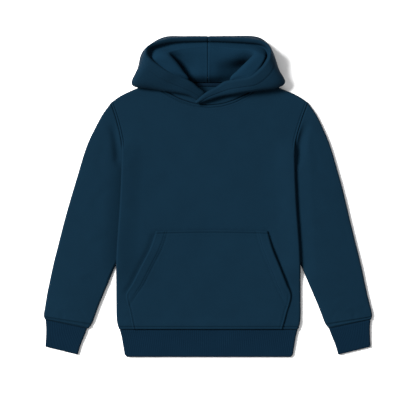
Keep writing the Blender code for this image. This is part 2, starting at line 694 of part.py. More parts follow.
def hood_guides(plans, section, side):
    """The guide points of one section: the shell up to the free edge, and the lining down to the neck."""
    height, plan = HOOD_HEIGHTS[section], plans[section]
    overlap = OVERLAP[section] if side > 0 and section < len(OVERLAP) else OverlapRow(0.0, False, 0.0)
    up = Vector((0, 0, 1))
    fold = Vector((plan.fold_x, plan.fold_y, height.fold_z + overlap.shell))
    edge = Vector((plan.rim_x, plan.rim_y, height.rim_z + overlap.shell - height.fall))
    lip = Vector((plan.lip_x, plan.lip_y, height.lip_z + overlap.shell))
    seam = neck_point(section, plan.neck_x)
    fold_inward = (edge - fold).to_2d().normalized().to_3d()
    if section < HOOD_FRONT_SECTIONS:
        rise = (fold.z - seam.z) / (height.fold_z - seam.z)
        tuck = seam.lerp(fold, height.tuck_share) + fold_inward * height.tuck_in
        tuck = raised(tuck, seam.z + height.tuck_rise * rise)
        turn = raised(tuck.lerp(fold, 0.3), seam.z + height.turn_rise * rise)
        near = ramp(abs(plan.neck_x), NECK_X - 26, NECK_X - 4)
        neck = seam + fold_inward * (1.2 + 2.6 * near) - up * (4.3 - 1.3 * near)
        clear = max(2.6 + 2.6 * near, (tuck - seam).dot(fold_inward) + FLEECE + LINING_WALL + 1.7)
        heel = raised(seam + fold_inward * clear, neck.z + 0.8)
        if overlap.short:
            neck = raised(tuck + fold_inward * 5.4, seam.z + overlap.neck_rise)
            heel = neck + up * 0.8
    else:
        outward = (fold - seam).to_2d().normalized().to_3d()
        tuck = raised(fold - outward * 11.0, 0.0)
        turn = raised(fold - outward * 3.2, 0.29 * fold.z)
        neck_share = 1.0 if section == len(plans) - 1 else 0.96 if section > 7 else 0.92
        neck = Vector((seam.x * neck_share, seam.y + 1.6, 2 * FLEECE + 2 * SEAM_GAP + 0.4))
        heel = None
    inward = rim_normal(plans, section, side)
    crown = edge + up * height.fall - inward * height.reach
    inner_slant = crown + inward * (0.707 * height.reach) - up * (0.293 * height.fall)
    # The band between fold and free edge: upright at the fold, then an even slope with a slight crown.
    round_up = min(6.0, 0.5 * (crown.z - fold.z))
    span = (crown - fold).to_2d()
    belly = fold + span.normalized().to_3d() * min(0.4 * round_up, 0.25 * span.length) + up * round_up
    chord = belly - crown
    steep = abs(chord.z) / chord.length
    away = up * (1 - steep) - inward * steep
    out = (away - chord * (away.dot(chord) / chord.length_squared)).normalized()
    at_hem = min(0.62, (HOOD_HEM - height.reach) / chord.length)
    hem = crown + chord * at_hem + out * (0.16 * chord.length * at_hem * (1 - at_hem))
    brim = crown + chord * min(0.28, 3.2 / chord.length) + out * (0.3 + 2.0 * steep ** 4)
    shoulder = crown - inward * (0.6 + 1.4 * steep ** 4) - up * (0.2 * steep ** 4)
    shell = [seam, tuck, turn, fold, belly, hem, brim, shoulder, crown]
    inside = [crown + inward * SEAM_GAP, crown + inward * 0.9, inner_slant, edge]
    if section < TURNED_UNDER:
        # The lining follows the shell closely round the free edge and back under it.
        slant = height.fall * math.sqrt(0.5)
        low = edge - (up + inward) * height.fall
        inside += [edge - inward * (height.fall - slant) - up * slant, low]
        inside += [low.lerp(heel, share) for share in (0.14, 0.28, 0.42, 0.56, 0.7, 0.85)] + [heel, neck]
        return shell, inside
    brow = Vector((plan.brow_x, plan.brow_y, height.brow_z))
    crease = raised(edge.lerp(brow, 0.35), height.crease_z)
    crease_end = raised(edge.lerp(brow, 0.78), height.crease_z)
    beside = (lip - brow).to_2d().normalized().to_3d()
    width = (lip - brow).to_2d().length
    brow_top = brow + beside * min(1.0, 0.12 * width)
    crest = raised(brow + beside * min(6.0, 0.4 * width), height.crest_z)
    slow = section >= SLOW_SECTION
    nose = raised(lip.lerp(neck, 0.06 if slow else 0.02), lip.z - height.nose_fall)
    under = raised(lip.lerp(neck, 0.2 if slow else 0.1), lip.z - height.under_fall)
    valley = raised(lip.lerp(neck, height.valley_at), height.valley_z)
    heel = heel or raised(valley.lerp(neck, 0.6), height.heel_z)
    inside += [crease, crease_end, brow_top, crest, lip - beside * 2.6, nose, under, valley, heel, neck]
    return shell, inside


def stepped(points, steps):
    """Guide points with mesh columns added between them along a smooth curve."""
    made = [points[0]]
    for i, count in enumerate(steps):
        made += [curve_point(points, i, (k + 1) / count) for k in range(count)]
    return made


def hood_rows(plans, side, lining):
    """The grid of one hood wall: its sections, smoothed along the free edge."""
    sections = []
    for i in range(len(plans)):
        shell, inside = hood_guides(plans, i, side)
        sections.append(stepped(inside, LINING_STEPS) if lining else stepped(shell, OUTER_STEPS))
    rows = []
    for k in range(HOOD_ROWS):
        place = (len(sections) - 1) * k / (HOOD_ROWS - 1)
        row = [along([s[j] for s in sections], place) for j in range(len(sections[0]))]
        lowest = 2 * FLEECE + 2 * SEAM_GAP if lining and place > HOOD_FRONT_SECTIONS - 0.6 else 0.0
        row = [raised(p, max(p.z, lowest)) for p in row]
        if not lining:
            row = [beside_shoulder(p) for p in row]
        if place == HOOD_FRONT_SECTIONS and not lining:
            # This row passes over the corner where shoulder and neckline meet.
            row[0].z = FLAT_HEIGHT
            row[1].z = max(row[1].z, FLAT_HEIGHT + 3 * SEAM_GAP)
        rows.append(row)
    return rows


def build_hood(side, shell, lining, collection):
    plans = HOOD_LEFT if side > 0 else HOOD_RIGHT
    name = "left" if side > 0 else "right"
    flip = side > 0
    sheet_wall("hood_outer_" + name, hood_rows(plans, side, False), FLEECE, shell, collection, flip)
    sheet_wall("hood_lining_" + name, hood_rows(plans, side, True), LINING_WALL, lining, collection, flip)


# --- neck tape ----------------------------------------------------------------------------------------


def build_tape(finish, collection):
    rows = []
    for k in range(13):
        x = -60 + 120 * k / 12
        row = []
        for step in range(5):
            y = neckline(x, back_curve) - 6.4 + 6.2 * step / 4
            bulge = 1.2 * math.sin(math.pi * step / 4)
            row.append((x, y, FLEECE + SEAM_GAP + TAPE_WALL + bulge))
        rows.append(row)
    sheet_wall("neck_tape", rows, TAPE_WALL, finish, collection, flip=True)


def main():
    for old in list(bpy.data.objects):
        bpy.data.objects.remove(old)
    garment = bpy.data.collections.new("toddler_hoodie")
    bpy.context.scene.collection.children.link(garment)
    fleece = material("navy_fleece", (0.008, 0.030, 0.055), 0.9)
    inside = material("navy_hood_lining", (0.008, 0.028, 0.052), 0.9)
    rib = material("navy_rib", (0.006, 0.022, 0.043), 0.9)
    tape = material("navy_tape", (0.006, 0.022, 0.043), 0.85)
    build_body(fleece, garment)
    build_hem(rib, garment)
    build_pocket(fleece, garment)
    for side in (-1, 1):
        build_sleeve(side, fleece, garment)
        build_cuff(side, rib, garment)
        build_hood(side, fleece, inside, garment)
    build_tape(tape, garment)


main()
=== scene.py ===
"""Looks of the toddler hoodie: each cloth piece is a thin shell with seams, stitches and creases."""

import math
from collections import namedtuple

import bpy
import numpy as np
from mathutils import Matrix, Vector
from numpy import concatenate as join
from numpy.linalg import norm


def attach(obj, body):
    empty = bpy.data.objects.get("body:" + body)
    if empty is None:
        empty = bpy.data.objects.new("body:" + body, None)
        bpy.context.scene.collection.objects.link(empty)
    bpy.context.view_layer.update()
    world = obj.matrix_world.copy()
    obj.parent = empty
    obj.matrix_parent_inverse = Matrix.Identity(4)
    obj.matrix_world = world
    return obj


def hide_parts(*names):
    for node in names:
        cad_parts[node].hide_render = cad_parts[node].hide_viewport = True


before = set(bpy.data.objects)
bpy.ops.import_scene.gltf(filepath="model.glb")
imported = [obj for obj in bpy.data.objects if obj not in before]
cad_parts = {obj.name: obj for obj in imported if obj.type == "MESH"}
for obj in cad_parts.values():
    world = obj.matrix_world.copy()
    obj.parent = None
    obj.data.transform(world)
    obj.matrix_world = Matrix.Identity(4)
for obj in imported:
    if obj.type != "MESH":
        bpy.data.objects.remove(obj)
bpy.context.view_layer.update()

scene = bpy.context.scene
MM = 0.001
MIDDLE_Y = 0.205  # the tables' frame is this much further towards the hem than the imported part's
SIDES = {-1: "right", 1: "left"}  # the wearer's, by the sign of x


def table(columns, *rows):
    """A list of rows with named columns. Columns left out at a row's end are 0."""
    row = namedtuple("Row", columns, defaults=[0] * len(columns.split()))
    return [row(*values) for values in rows]


# --- sizes, in millimetres, as in the part's source ---

FLEECE, RIB_WALL, LINING_WALL, TAPE_WALL = 2.0, 2.6, 1.6, 1.4
SEAM_GAP = 0.3
PANELS = 2 * FLEECE + 2 * SEAM_GAP  # how high the hood's lining lies over the back's neck
FAR = 99.0  # out of every seam's reach
SEWN_GAP = 0.06  # where two pieces meet at a seam that is seen from straight above
HALF_GAP = SEAM_GAP / 2
FLAT_HEIGHT = 7.4
HEM_SEAM_Y = -212.4
SHOULDER_X, SHOULDER_Y = 158.0, 151.2
NECK_X, NECK_Y = 88.0, 184.5
NECK_FRONT_Y, NECK_FRONT_X = 147.3, 3.0
NECK_BACK_DIP = 0.8
NECK_COLUMNS, NECK_STRAIGHT = 8, 0.6
TUCK_LIFT, TUCK_HEIGHT, TUCK_SLEEVE = 4.8, 11.2, 4.4
LIFT_REACH, THIN_REACH = 36.0, 26.0
TUCK_START, TUCK_END = (98.0, 72.0), (-106.0, -144.0)
SIDE_FULLNESS = (0.6, 2.0)  # how much fuller the body's side folds lie, on the wearer's right and left
HEM_RIBS, CUFF_RIBS, RIB_RELIEF = 88, 20, 0.34
RIB_LENGTH, RIB_ROWS = 42.0, 30
HEM_BAND_HEIGHT, CUFF_HEIGHT = (6.9, 6.3), (7.0, 6.3)
HOOD_HEM = 18.0
FRONT_SECTIONS = 6.5  # the hood's sections before this are sewn to the front's neck, the others to the back's
CROWN_SECTION, NECK_SECTIONS = 9, 6.4  # where the hood's crown seam starts and its sewn front neck ends
# how far rows of stitches lie from their seam or edge
HEM_STITCHES, ARMHOLE_STITCHES, NECK_STITCHES, TOP_STITCHES, SIDE_STITCHES = 4.4, 4.0, 4.6, 4.5, 4.3

HEM_BAND = table(
    "y half_width",
    (-256.3, 131.6), (-252.6, 134.8), (-246, 136), (-224, 139.8), (HEM_SEAM_Y - HALF_GAP, 142.6),
)
BODY_EDGE = table(
    "y half_width",
    (HEM_SEAM_Y, 143.2), (-206, 145.6), (-197, 147.2), (-184, 147.8), (-116.8, 147.8), (-84.8, 146.8),
    (-52.8, 144.6), (-4.8, 141.2), (27.2, 139.8), (60, 138.8), (66, 138.6), (75.2, 138.8), (88, 139.8),
    (102.4, 142.6), (116, 146.2), (128, 149.8), (SHOULDER_Y, SHOULDER_X),
)
ARMHOLE_MEETS = 60.0
ARMHOLE = table("y half_width", (14.0, 134.6), (34.0, 134.9), (50.0, 136.4), (ARMHOLE_MEETS, 139.1))
SHOULDER = table("x y", (NECK_X, NECK_Y), (121.6, 171.5), (142.4, 161.9), (SHOULDER_X, SHOULDER_Y))
# how far the body and the sleeves lie askew
LEAN = table(
    "y body sleeve",
    (-256, 1.3, 0), (-190, 0.9, 0), (-150, 0.6, -1.4), (-50, 0.4, -1.2), (30, 0.4, 0.4),
    (66, 0.6, 0.6), (SHOULDER_Y, 2.3, 2.3), (NECK_Y, 0, 0),
)
RING = "outer_x outer_y inner_x inner_y"
SLEEVE = table(
    RING,
    (SHOULDER_X + SEAM_GAP, SHOULDER_Y, 134.6, 14), (173.8, 131.6, 135.6, 2), (186.8, 104.6, 137, -14),
    (197.4, 75.4, 138.8, -32), (208.5, 38, 141.2, -54), (218.2, 4, 143.6, -74), (228.6, -36, 144.8, -98),
    (237.6, -72, 152, -117.2), (246.4, -107, 159.6, -136), (252.6, -136, 167.8, -155.2),
    (258.4, -164, 175.8, -174.4), (262.6, -184, 182.4, -192), (263.2, -191, 186.8, -203),
    (261.4, -196, 192.6, -210.8),
)
BOW_RINGS = 3  # the sleeve's rings that follow the armhole's curve
SINK_POWER = {-1: 2.2, 1: 1.5}  # how quickly each sleeve rises beside the body's fold
TROUGH_DEPTH = {-1: 3.0, 1: 4.8}  # of the soft hollow beside each armhole
CUFF = table(
    RING,
    (260.6, -196.24, 193.6, -210.66), (259.6, -210, 199, -224.5), (259.8, -224, 204.4, -238),
    (260.8, -239.8, 208.6, -252.6),
)
TOP_Y, CORNER_Y, BOTTOM_Y = -54.4, -158.5, -211.4  # the pocket's upper edge, lower corners and lower edge
POCKET = table(
    "y right_x left_x",
    (BOTTOM_Y, -120.5, 119), (-184, -126, 126.6), (CORNER_Y, -131.8, 133.2), (-139, -121.6, 125.6),
    (-112, -108, 115), (-82, -92.8, 103), (-66, -87, 98.4), (TOP_Y, -83.4, 95.6),
)
POCKET_GAPE, GAPE_REACH = 3.2, 20.0
POCKET_HEM = 14.4
POCKET_HEM_ROWS = (POCKET_HEM - 1.3, POCKET_HEM + 1.5)  # two rows of stitches
SLANT = 0.86  # distance square to a slanted opening, for each one straight across

# "rim" is the free edge's inner side, "fold" the lowest outer fold, "brow" where the lining rises beside
# the free edge and "lip" where it turns down into the hood.
HOOD_HEIGHTS = table(
    "tuck_share tuck_in tuck_rise turn_rise fold_z rim_z reach fall crease_z brow_z crest_z lip_z "
    "nose_fall under_fall valley_at valley_z heel_z",
    (1, 1.4, 0.6, 1.6, 10.6, 14.4, 3, 3),
    (1, 2, 0.8, 2.2, 11.6, 16.8, 3, 3),
    (1, 3, 1.2, 3.4, 14, 21.6, 3.1, 3.1),
    (0.9, 3.6, 2.2, 4.6, 15.6, 27.6, 3.2, 3.2),
    (0.4, 1.6, 2.8, 5.6, 16.4, 32.6, 3.2, 0.6, 32.1, 32.3, 32.2, 30.6, 3.2, 7, 0.5, 10, 7.5),
    (0.3, 0, 2.6, 5.4, 16.8, 38.4, 3.4, 1.1, 37.3, 37.6, 37.9, 35.4, 3.2, 7, 0.5, 11, 8),
    (0.5, 0, 3.2, 6.8, 17.2, 42.4, 3.6, 3.2, 38.4, 40, 40.6, 38.4, 3.2, 7, 0.45, 11.4, 8),
    (0, 0, 0, 0, 18.4, 45, 4, 5, 36.4, 40.8, 41.8, 39.6, 3.2, 7.4, 0.4, 12, 8.4),
    (0, 0, 0, 0, 18.6, 46, 4.4, 6.6, 33, 40.4, 41.8, 39.4, 4, 11, 0.4, 10, 7.6),
    (0, 0, 0, 0, 17.6, 45.2, 5, 7, 31, 38.6, 40, 38.2, 4, 13, 0.4, 11.4, 9),
    (0, 0, 0, 0, 17, 43.4, 5.8, 7.6, 30, 36.2, 37.6, 36.4, 2.8, 9.4, 0.44, 15.4, 11.6),
    (0, 0, 0, 0, 17, 41, 6.2, 7.6, 28.6, 34.2, 35.8, 35.2, 1.3, 4.4, 0.5, 22.6, 17.4),
    (0, 0, 0, 0, 17, 39.2, 6.4, 7.6, 28.4, 33, 34.2, 33.8, 0.7, 2.4, 0.5, 27.4, 21.6),
    (0, 0, 0, 0, 17, 38.6, 6.4, 7.4, 29, 32.8, 33.8, 33.4, 0.6, 2.2, 0.5, 28.2, 23),
)
SLANT_OUT, SLANT_DOWN = 0.707, 0.293  # halfway round the free edge's turn
LINING_SAG = [0] * 7 + [1.0, 2.0, 4.0, 6.0, 5.4, 2.4, 0]  # how much deeper the hood's left half lies
TURNED_UNDER = 4  # sections before this one have no lining in sight: it lies under the shell
HOOD_PLAN = "neck_x fold_x fold_y rim_x rim_y brow_x brow_y lip_x lip_y"
HOOD_RIGHT = table(
    HOOD_PLAN,
    (-12.2, -15.2, 153.2, -6.4, 162.8, 0, 0, -8.4, 156.6),
    (-20, -20.4, 156, -5.2, 167.2, 0, 0, -12.4, 162.6),
    (-31, -30.6, 161.8, -14.2, 174.2, 0, 0, -21, 169.8),
    (-46, -46.6, 165.6, -25.2, 183.2, 0, 0, -28.6, 181.4),
    (-60, -67, 168.2, -43, 191, -41.4, 191.2, -30.4, 189.2),
    (-73, -91, 172, -60.6, 198, -57.6, 198.8, -37.2, 199.2),
    (-83, -116.4, 175.4, -77.6, 209.2, -75.2, 210.4, -46.6, 212.6),
    (-88.4, -121.8, 184.6, -88.4, 218, -84.6, 218.8, -53.4, 220.6),
    (-76, -112.6, 205.6, -94.4, 226.4, -79.6, 226.4, -58, 226.4),
    (-60, -106.4, 229.6, -92, 235.4, -72, 231.2, -57, 229),
    (-43, -92, 244.4, -79.6, 240.4, -61.6, 234.4, -49, 230.4),
    (-27, -67.6, 256.4, -57.4, 245.4, -44.4, 238, -36.2, 232),
    (-13, -34, 257.2, -29.4, 246.8, -24.4, 241, -18.6, 233.6),
    (-HALF_GAP, -HALF_GAP, 257, -HALF_GAP, 247.2, -HALF_GAP, 243.2, -HALF_GAP, 235),
)
HOOD_LEFT = table(
    HOOD_PLAN,
    (-9.4, -12.4, 149.6, -20.8, 152.2, 0, 0, -18.4, 151.6),
    (4, 3.4, 155.2, -4.4, 166, 0, 0, -1.8, 162.4),
    (24, 23, 161, 13.4, 176, 0, 0, 17.6, 171.4),
    (41, 39.6, 163.4, 26.2, 184.4, 0, 0, 29, 182.2),
    (56, 60, 166.4, 45.6, 187.4, 43.6, 188.4, 35.2, 190.6),
    (70, 83.6, 169.6, 66.6, 191.4, 64.2, 193.2, 45.4, 200.8),
    (81, 112.2, 174, 81, 202.4, 79.4, 203.6, 56, 211),
    (88.4, 123.2, 184.2, 89, 212.4, 87.2, 213.2, 63.6, 218.6),
    (76, 113.6, 203.4, 94.4, 223.6, 91.2, 222.4, 69.4, 225),
    (60, 105.6, 227.8, 93.6, 235.2, 86.4, 229.4, 70.6, 227.8),
    (43, 96, 245, 83.6, 242, 74.6, 236, 62.4, 230.4),
    (27, 77, 256.4, 60, 245, 51.8, 237.6, 42.6, 231.2),
    (13, 38, 257.4, 31, 246.4, 25.6, 240.6, 21, 233),
    (HALF_GAP, HALF_GAP, 257, HALF_GAP, 247.2, HALF_GAP, 243.2, HALF_GAP, 235),
)
# how much higher the left front edge lies over the right one; the last row is for everywhere else
OVERLAP = table(
    "fold rim short neck_rise",
    (3, 5.6, True, 3.4), (4.6, 6, True, -2.4), (3, 2.6, False, 0), (4.4, 0.8, False, 0),
    (5.6, 0.4, False, 0), (6.2, 0, False, 0), (5, 0, False, 0), (2, 0, False, 0),
    (0, 0, False, 0),
)

# creases: a soft ridge (positive height) or trough (negative) along a line of the plan
CREASE = "x0 y0 x1 y1 width height"
BODY_CREASES = table(
    CREASE,
    (-132, 66, -104, 92, 7, -0.3), (-136, 50, -112, 60, 6, 0.25), (133, 62, 100, 96, 8, -0.35),
    (136, 44, 108, 52, 6, 0.25), (-140, -20, -118, 4, 8, 0.35), (142, -70, 122, -38, 9, -0.35),
    (-60, 128, -22, 118, 12, 0.3), (64, 132, 30, 122, 12, 0.3), (-138, -196, -112, -188, 6, -0.4),
    (138, -198, 110, -190, 6, -0.4),
)
SLEEVE_CREASES = table(
    CREASE,
    (164, 86, 172, 30, 8, -0.5), (160, 118, 182, 70, 9, 0.6), (150, 18, 186, -22, 9, -0.6),
    (158, -58, 196, -70, 8, 0.5), (206, -40, 228, -66, 9, -0.5), (176, -120, 214, -134, 8, 0.45),
    (196, -168, 232, -158, 6, -0.5), (214, -186, 244, -176, 5, 0.45), (198, -196, 208, -180, 4, -0.5),
    (232, -196, 238, -184, 4, -0.45), (250, -188, 252, -172, 4, -0.4),
)
# the slight unevenness of cloth smoothed flat by hand
WAVES = table(
    "height by_x by_y by_seed shift",
    (0.2, 0.047, 0.021, 1), (0.16, -0.029, 0.053, 1.7, 0.9), (0.1, 0.091, -0.067, 2.3),
    (0.07, 0.13, 0.112, 0.6, 2),
)


def ramp(value, start, end):
    """0 at start, 1 at end, with a smooth slope between them."""
    t = np.clip((np.asarray(value, float) - start) / (end - start), 0, 1)
    return t * t * (3 - 2 * t)


def bump_at(value, centre, width):
    """A bell of height 1 round a centre."""
    return np.exp(-(((np.asarray(value, float) - centre) / width) ** 2))


def ridges(value, *bells):
    """Ridges and troughs (height, centre, width) added up."""
    return sum(height * bump_at(value, centre, width) for height, centre, width in bells)


def hermite(t, span, start, end, leaving, arriving):
    """A smooth curve over a span, from the values and slopes at its ends."""
    square, cube = t * t, t**3
    return (
        start * (2 * cube - 3 * square + 1)
        + leaving * span * (cube - 2 * square + t)
        + end * (3 * square - 2 * cube)
        + arriving * span * (cube - square)
    )


def read(rows, column, at):
    """A table's column at values of its rising first column, on a smooth curve that never overshoots."""
    xs = np.array([r[0] for r in rows], float)
    ys = np.array([getattr(r, column) for r in rows], float)
    spans = np.diff(xs)
    steps = np.diff(ys) / spans
    slopes = np.zeros(len(xs))
    slopes[0], slopes[-1] = steps[0], steps[-1]
    before, after = steps[:-1], steps[1:]
    same = before * after > 0
    slopes[1:-1][same] = 2 * before[same] * after[same] / (before[same] + after[same])
    at = np.asarray(at, float)
    i = np.clip(np.searchsorted(xs, at) - 1, 0, len(spans) - 1)
    t = np.clip((at - xs[i]) / spans[i], 0, 1)
    return hermite(t, spans[i], ys[i], ys[i + 1], slopes[i], slopes[i + 1])


def catmull(values, places):
    """Evenly spaced values (first axis) read between 0 and len - 1 on a smooth curve through them."""
    padded = join([[2 * values[0] - values[1]], values, [2 * values[-1] - values[-2]]])
    i = np.clip(places.astype(int), 0, len(values) - 2)
    t = (places - i).reshape((-1,) + (1,) * (values.ndim - 1))
    a, b, c, d = padded[i], padded[i + 1], padded[i + 2], padded[i + 3]
    bend, twist = 2 * a - 5 * b + 4 * c - d, 3 * b - a - 3 * c + d
    return 0.5 * (2 * b + (c - a) * t + bend * t**2 + twist * t**3)


def creased(creases, x, y):
    """The height that a table's creases add at points of the plan. Each fades out towards its ends."""
    height = np.zeros(np.broadcast(x, y).shape)
    for c in creases:
        run = np.array((c.x1 - c.x0, c.y1 - c.y0), float)
        length = np.hypot(*run)
        along, across = run / length, np.array((-run[1], run[0])) / length
        share = np.clip(((x - c.x0) * along[0] + (y - c.y0) * along[1]) / length, 0, 1)
        arc = np.sin(np.pi * share)
        off = (x - c.x0) * across[0] + (y - c.y0) * across[1] - 0.12 * length * arc
        height += c.height * arc**0.8 * np.exp(-((off / (c.width * (0.6 + 0.5 * share))) ** 2))
    return height


def undulation(x, y, seed=0.0):
    return sum(w.height * np.sin(x * w.by_x + y * w.by_y + w.by_seed * seed + w.shift) for w in WAVES)


# --- mesh building ---


def grid_normals(points, closed=False):
    """Unit normals of a grid of points; closed joins the last column to the first."""
    across = np.roll(points, -1, 1) - np.roll(points, 1, 1) if closed else np.gradient(points, axis=1)
    normals = np.cross(across, np.gradient(points, axis=0))
    return normals / np.maximum(norm(normals, axis=2, keepdims=True), 1e-9)


def relax(points):
    """Draws a grid's inner points towards their neighbours, which softens every turn like cloth."""
    middle = (points[:-2, 1:-1] + points[2:, 1:-1] + points[1:-1, :-2] + points[1:-1, 2:]) / 4
    points[1:-1, 1:-1] += 0.5 * (middle - points[1:-1, 1:-1])


def linked(name, data):
    """A new object in the scene."""
    thing = bpy.data.objects.new(name, data)
    scene.collection.objects.link(thing)
    return thing


def mesh_piece(name, node, slot, points, faces, lengths=None, finish=None):
    """One piece of the garment, from points in millimetres, in place of its CAD node if it has one."""
    mesh = bpy.data.meshes.new(name)
    mesh.from_pydata((points - np.array((0.0, MIDDLE_Y, 0.0))) * MM, [], faces)
    layer = mesh.uv_layers.new(name="cloth")
    if lengths is not None:
        index = np.zeros(len(mesh.loops), np.int32)
        mesh.loops.foreach_get("vertex_index", index)
        layer.data.foreach_set("uv", (lengths[index] * MM).astype(np.float32).ravel())
    mesh.materials.append(finishes[finish or slot])
    mesh.shade_smooth()
    piece = linked(name, mesh)
    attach(piece, "root")
    if node:
        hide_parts(node)


def wall_piece(name, node, slot, outer, inner, faces):
    """A wall of cloth between two grids. Its knit is laid by distances across and along the outer one."""
    across, along = np.zeros(outer.shape[:2]), np.zeros(outer.shape[:2])
    across[:, 1:] = np.cumsum(norm(np.diff(outer, axis=1), axis=2), axis=1)
    across -= across[:, across.shape[1] // 2][:, None]
    along[1:] = np.cumsum(norm(np.diff(outer, axis=0), axis=2), axis=0)
    lengths = np.tile(np.stack([across.ravel(), along.ravel()], 1), (2, 1))
    points = join([outer.reshape(-1, 3), inner.reshape(-1, 3)])
    mesh_piece(name, node, slot, points, join(faces).tolist(), lengths)


def quads(rows, columns, first=0, closed=False, flip=False):
    """Faces of a grid whose points are stored row by row."""
    i, j = np.meshgrid(np.arange(rows - 1), np.arange(columns if closed else columns - 1), indexing="ij")
    here, beside = i * columns + j, i * columns + (j + 1) % columns
    faces = np.stack([here, beside, beside + columns, here + columns], 2).reshape(-1, 4)
    return (faces[:, ::-1] if flip else faces) + first


def sheet_piece(name, node, slot, points, wall, flip=False, normals=None):
    """A closed thin wall: the grid is its outer surface and the wall lies behind it."""
    rows, columns = points.shape[:2]
    if normals is None:
        normals = grid_normals(points) * (-1 if flip else 1)
    inner = points - normals * wall
    inner[:, :, 2] = np.maximum(inner[:, :, 2], 0.0)
    count = rows * columns
    sides = (
        np.arange(columns),
        np.arange(1, rows) * columns + columns - 1,
        count - 1 - np.arange(1, columns),
        np.arange(rows - 2, 0, -1) * columns,
    )
    rim = join(sides)
    following = np.roll(rim, -1)
    edge = np.stack([rim, rim + count, following + count, following], 1)
    faces = [quads(rows, columns, 0, flip=flip), quads(rows, columns, count, flip=not flip)]
    wall_piece(name, node, slot, points, inner, [*faces, edge[:, ::-1] if flip else edge])


def tube_piece(name, node, slot, outer, inner, flip=False):
    """A tube of cloth open at both ends, from matching rings outside and inside."""
    rows, columns = outer.shape[:2]
    count = rows * columns
    faces = [quads(rows, columns, 0, True, flip), quads(rows, columns, count, True, not flip)]
    for first, turned in ((0, not flip), (count - columns, flip)):
        rim = first + np.arange(columns)
        following = np.roll(rim, -1)
        edge = np.stack([rim, following, following + count, rim + count], 1)
        faces.append(edge[:, ::-1] if turned else edge)
    wall_piece(name, node, slot, outer, inner, faces)


# --- stitches ---

stitch_points, stitch_faces = [], []
STITCH_SIDES = 5
THREAD, STITCH_SUNK = 0.34, 0.08  # a thread's radius, and how deep it is pulled into the cloth
STITCH = table(
    "share thickness height",
    (0.0, 0.45, -0.42), (0.12, 0.9, -0.02), (0.5, 1.0, 0.10), (0.88, 0.9, -0.02), (1.0, 0.45, -0.42),
)


def path_on(points, normals, rows, columns):
    """A line over a grid at fractional rows and columns: its points and normals."""
    rows, columns = np.broadcast_arrays(rows, columns)
    rows, columns = (np.clip(at, 0, size - 1.001) for at, size in zip((rows, columns), points.shape))
    i, j = rows.astype(int), columns.astype(int)
    s, t = (rows - i)[:, None], (columns - j)[:, None]

    def blend(values):
        return (
            values[i, j] * (1 - s) * (1 - t)
            + values[i + 1, j] * s * (1 - t)
            + values[i, j + 1] * (1 - s) * t
            + values[i + 1, j + 1] * s * t
        )

    found = blend(normals)
    return blend(points), found / np.maximum(norm(found, axis=1, keepdims=True), 1e-9)


def stitch_line(grid, rows, columns, pitch=3.1, length=2.5):
    """A row of lockstitches: short rounded threads that dive into the cloth at both ends."""
    points, normals = path_on(*grid, rows, columns)
    steps = norm(np.diff(points, axis=0), axis=1)
    at = join([[0], np.cumsum(steps)])
    shares, thickness, height = np.array(STITCH).T
    turn = np.arange(STITCH_SIDES) * 2 * np.pi / STITCH_SIDES
    for start in np.arange(0.5, at[-1] - length - 0.3, pitch):
        where = start + shares * length
        line, up = (np.stack([np.interp(where, at, v[:, k]) for k in range(3)], 1) for v in (points, normals))
        run = np.gradient(line, axis=0)
        run /= norm(run, axis=1, keepdims=True)
        up -= (up * run).sum(1, keepdims=True) * run
        up /= norm(up, axis=1, keepdims=True)
        side = np.cross(run, up)
        centre = line + up * (height - STITCH_SUNK)[:, None]
        round_it = np.cos(turn)[None, :, None] * side[:, None] + np.sin(turn)[None, :, None] * up[:, None]
        ring = centre[:, None] + (thickness * THREAD)[:, None, None] * round_it
        first = len(stitch_points) * len(STITCH) * STITCH_SIDES
        last = first + (len(STITCH) - 1) * STITCH_SIDES
        stitch_points.append(ring.reshape(-1, 3))
        stitch_faces.extend(quads(len(STITCH), STITCH_SIDES, first, True).tolist())
        stitch_faces.append([*range(first, first + STITCH_SIDES)][::-1])
        stitch_faces.append([*range(last, last + STITCH_SIDES)])


# --- materials ---

WAVE_PERIOD = 0.314159  # a wave texture's period at scale 1


def feed(tree, socket, value):
    """Links another node's output to a socket, or sets a plain value on it."""
    if isinstance(value, bpy.types.NodeSocket):
        tree.links.new(value, socket)
    else:
        socket.default_value = value


def add_node(tree, kind, *values, **settings):
    """A new node: values feed its inputs in their order, and settings its named inputs or attributes."""
    node = tree.nodes.new("ShaderNode" + kind)
    for socket, value in zip(node.inputs, values):
        feed(tree, socket, value)
    for key, value in settings.items():
        if key in node.inputs:
            feed(tree, node.inputs[key], value)
        else:
            setattr(node, key, value)
    return node


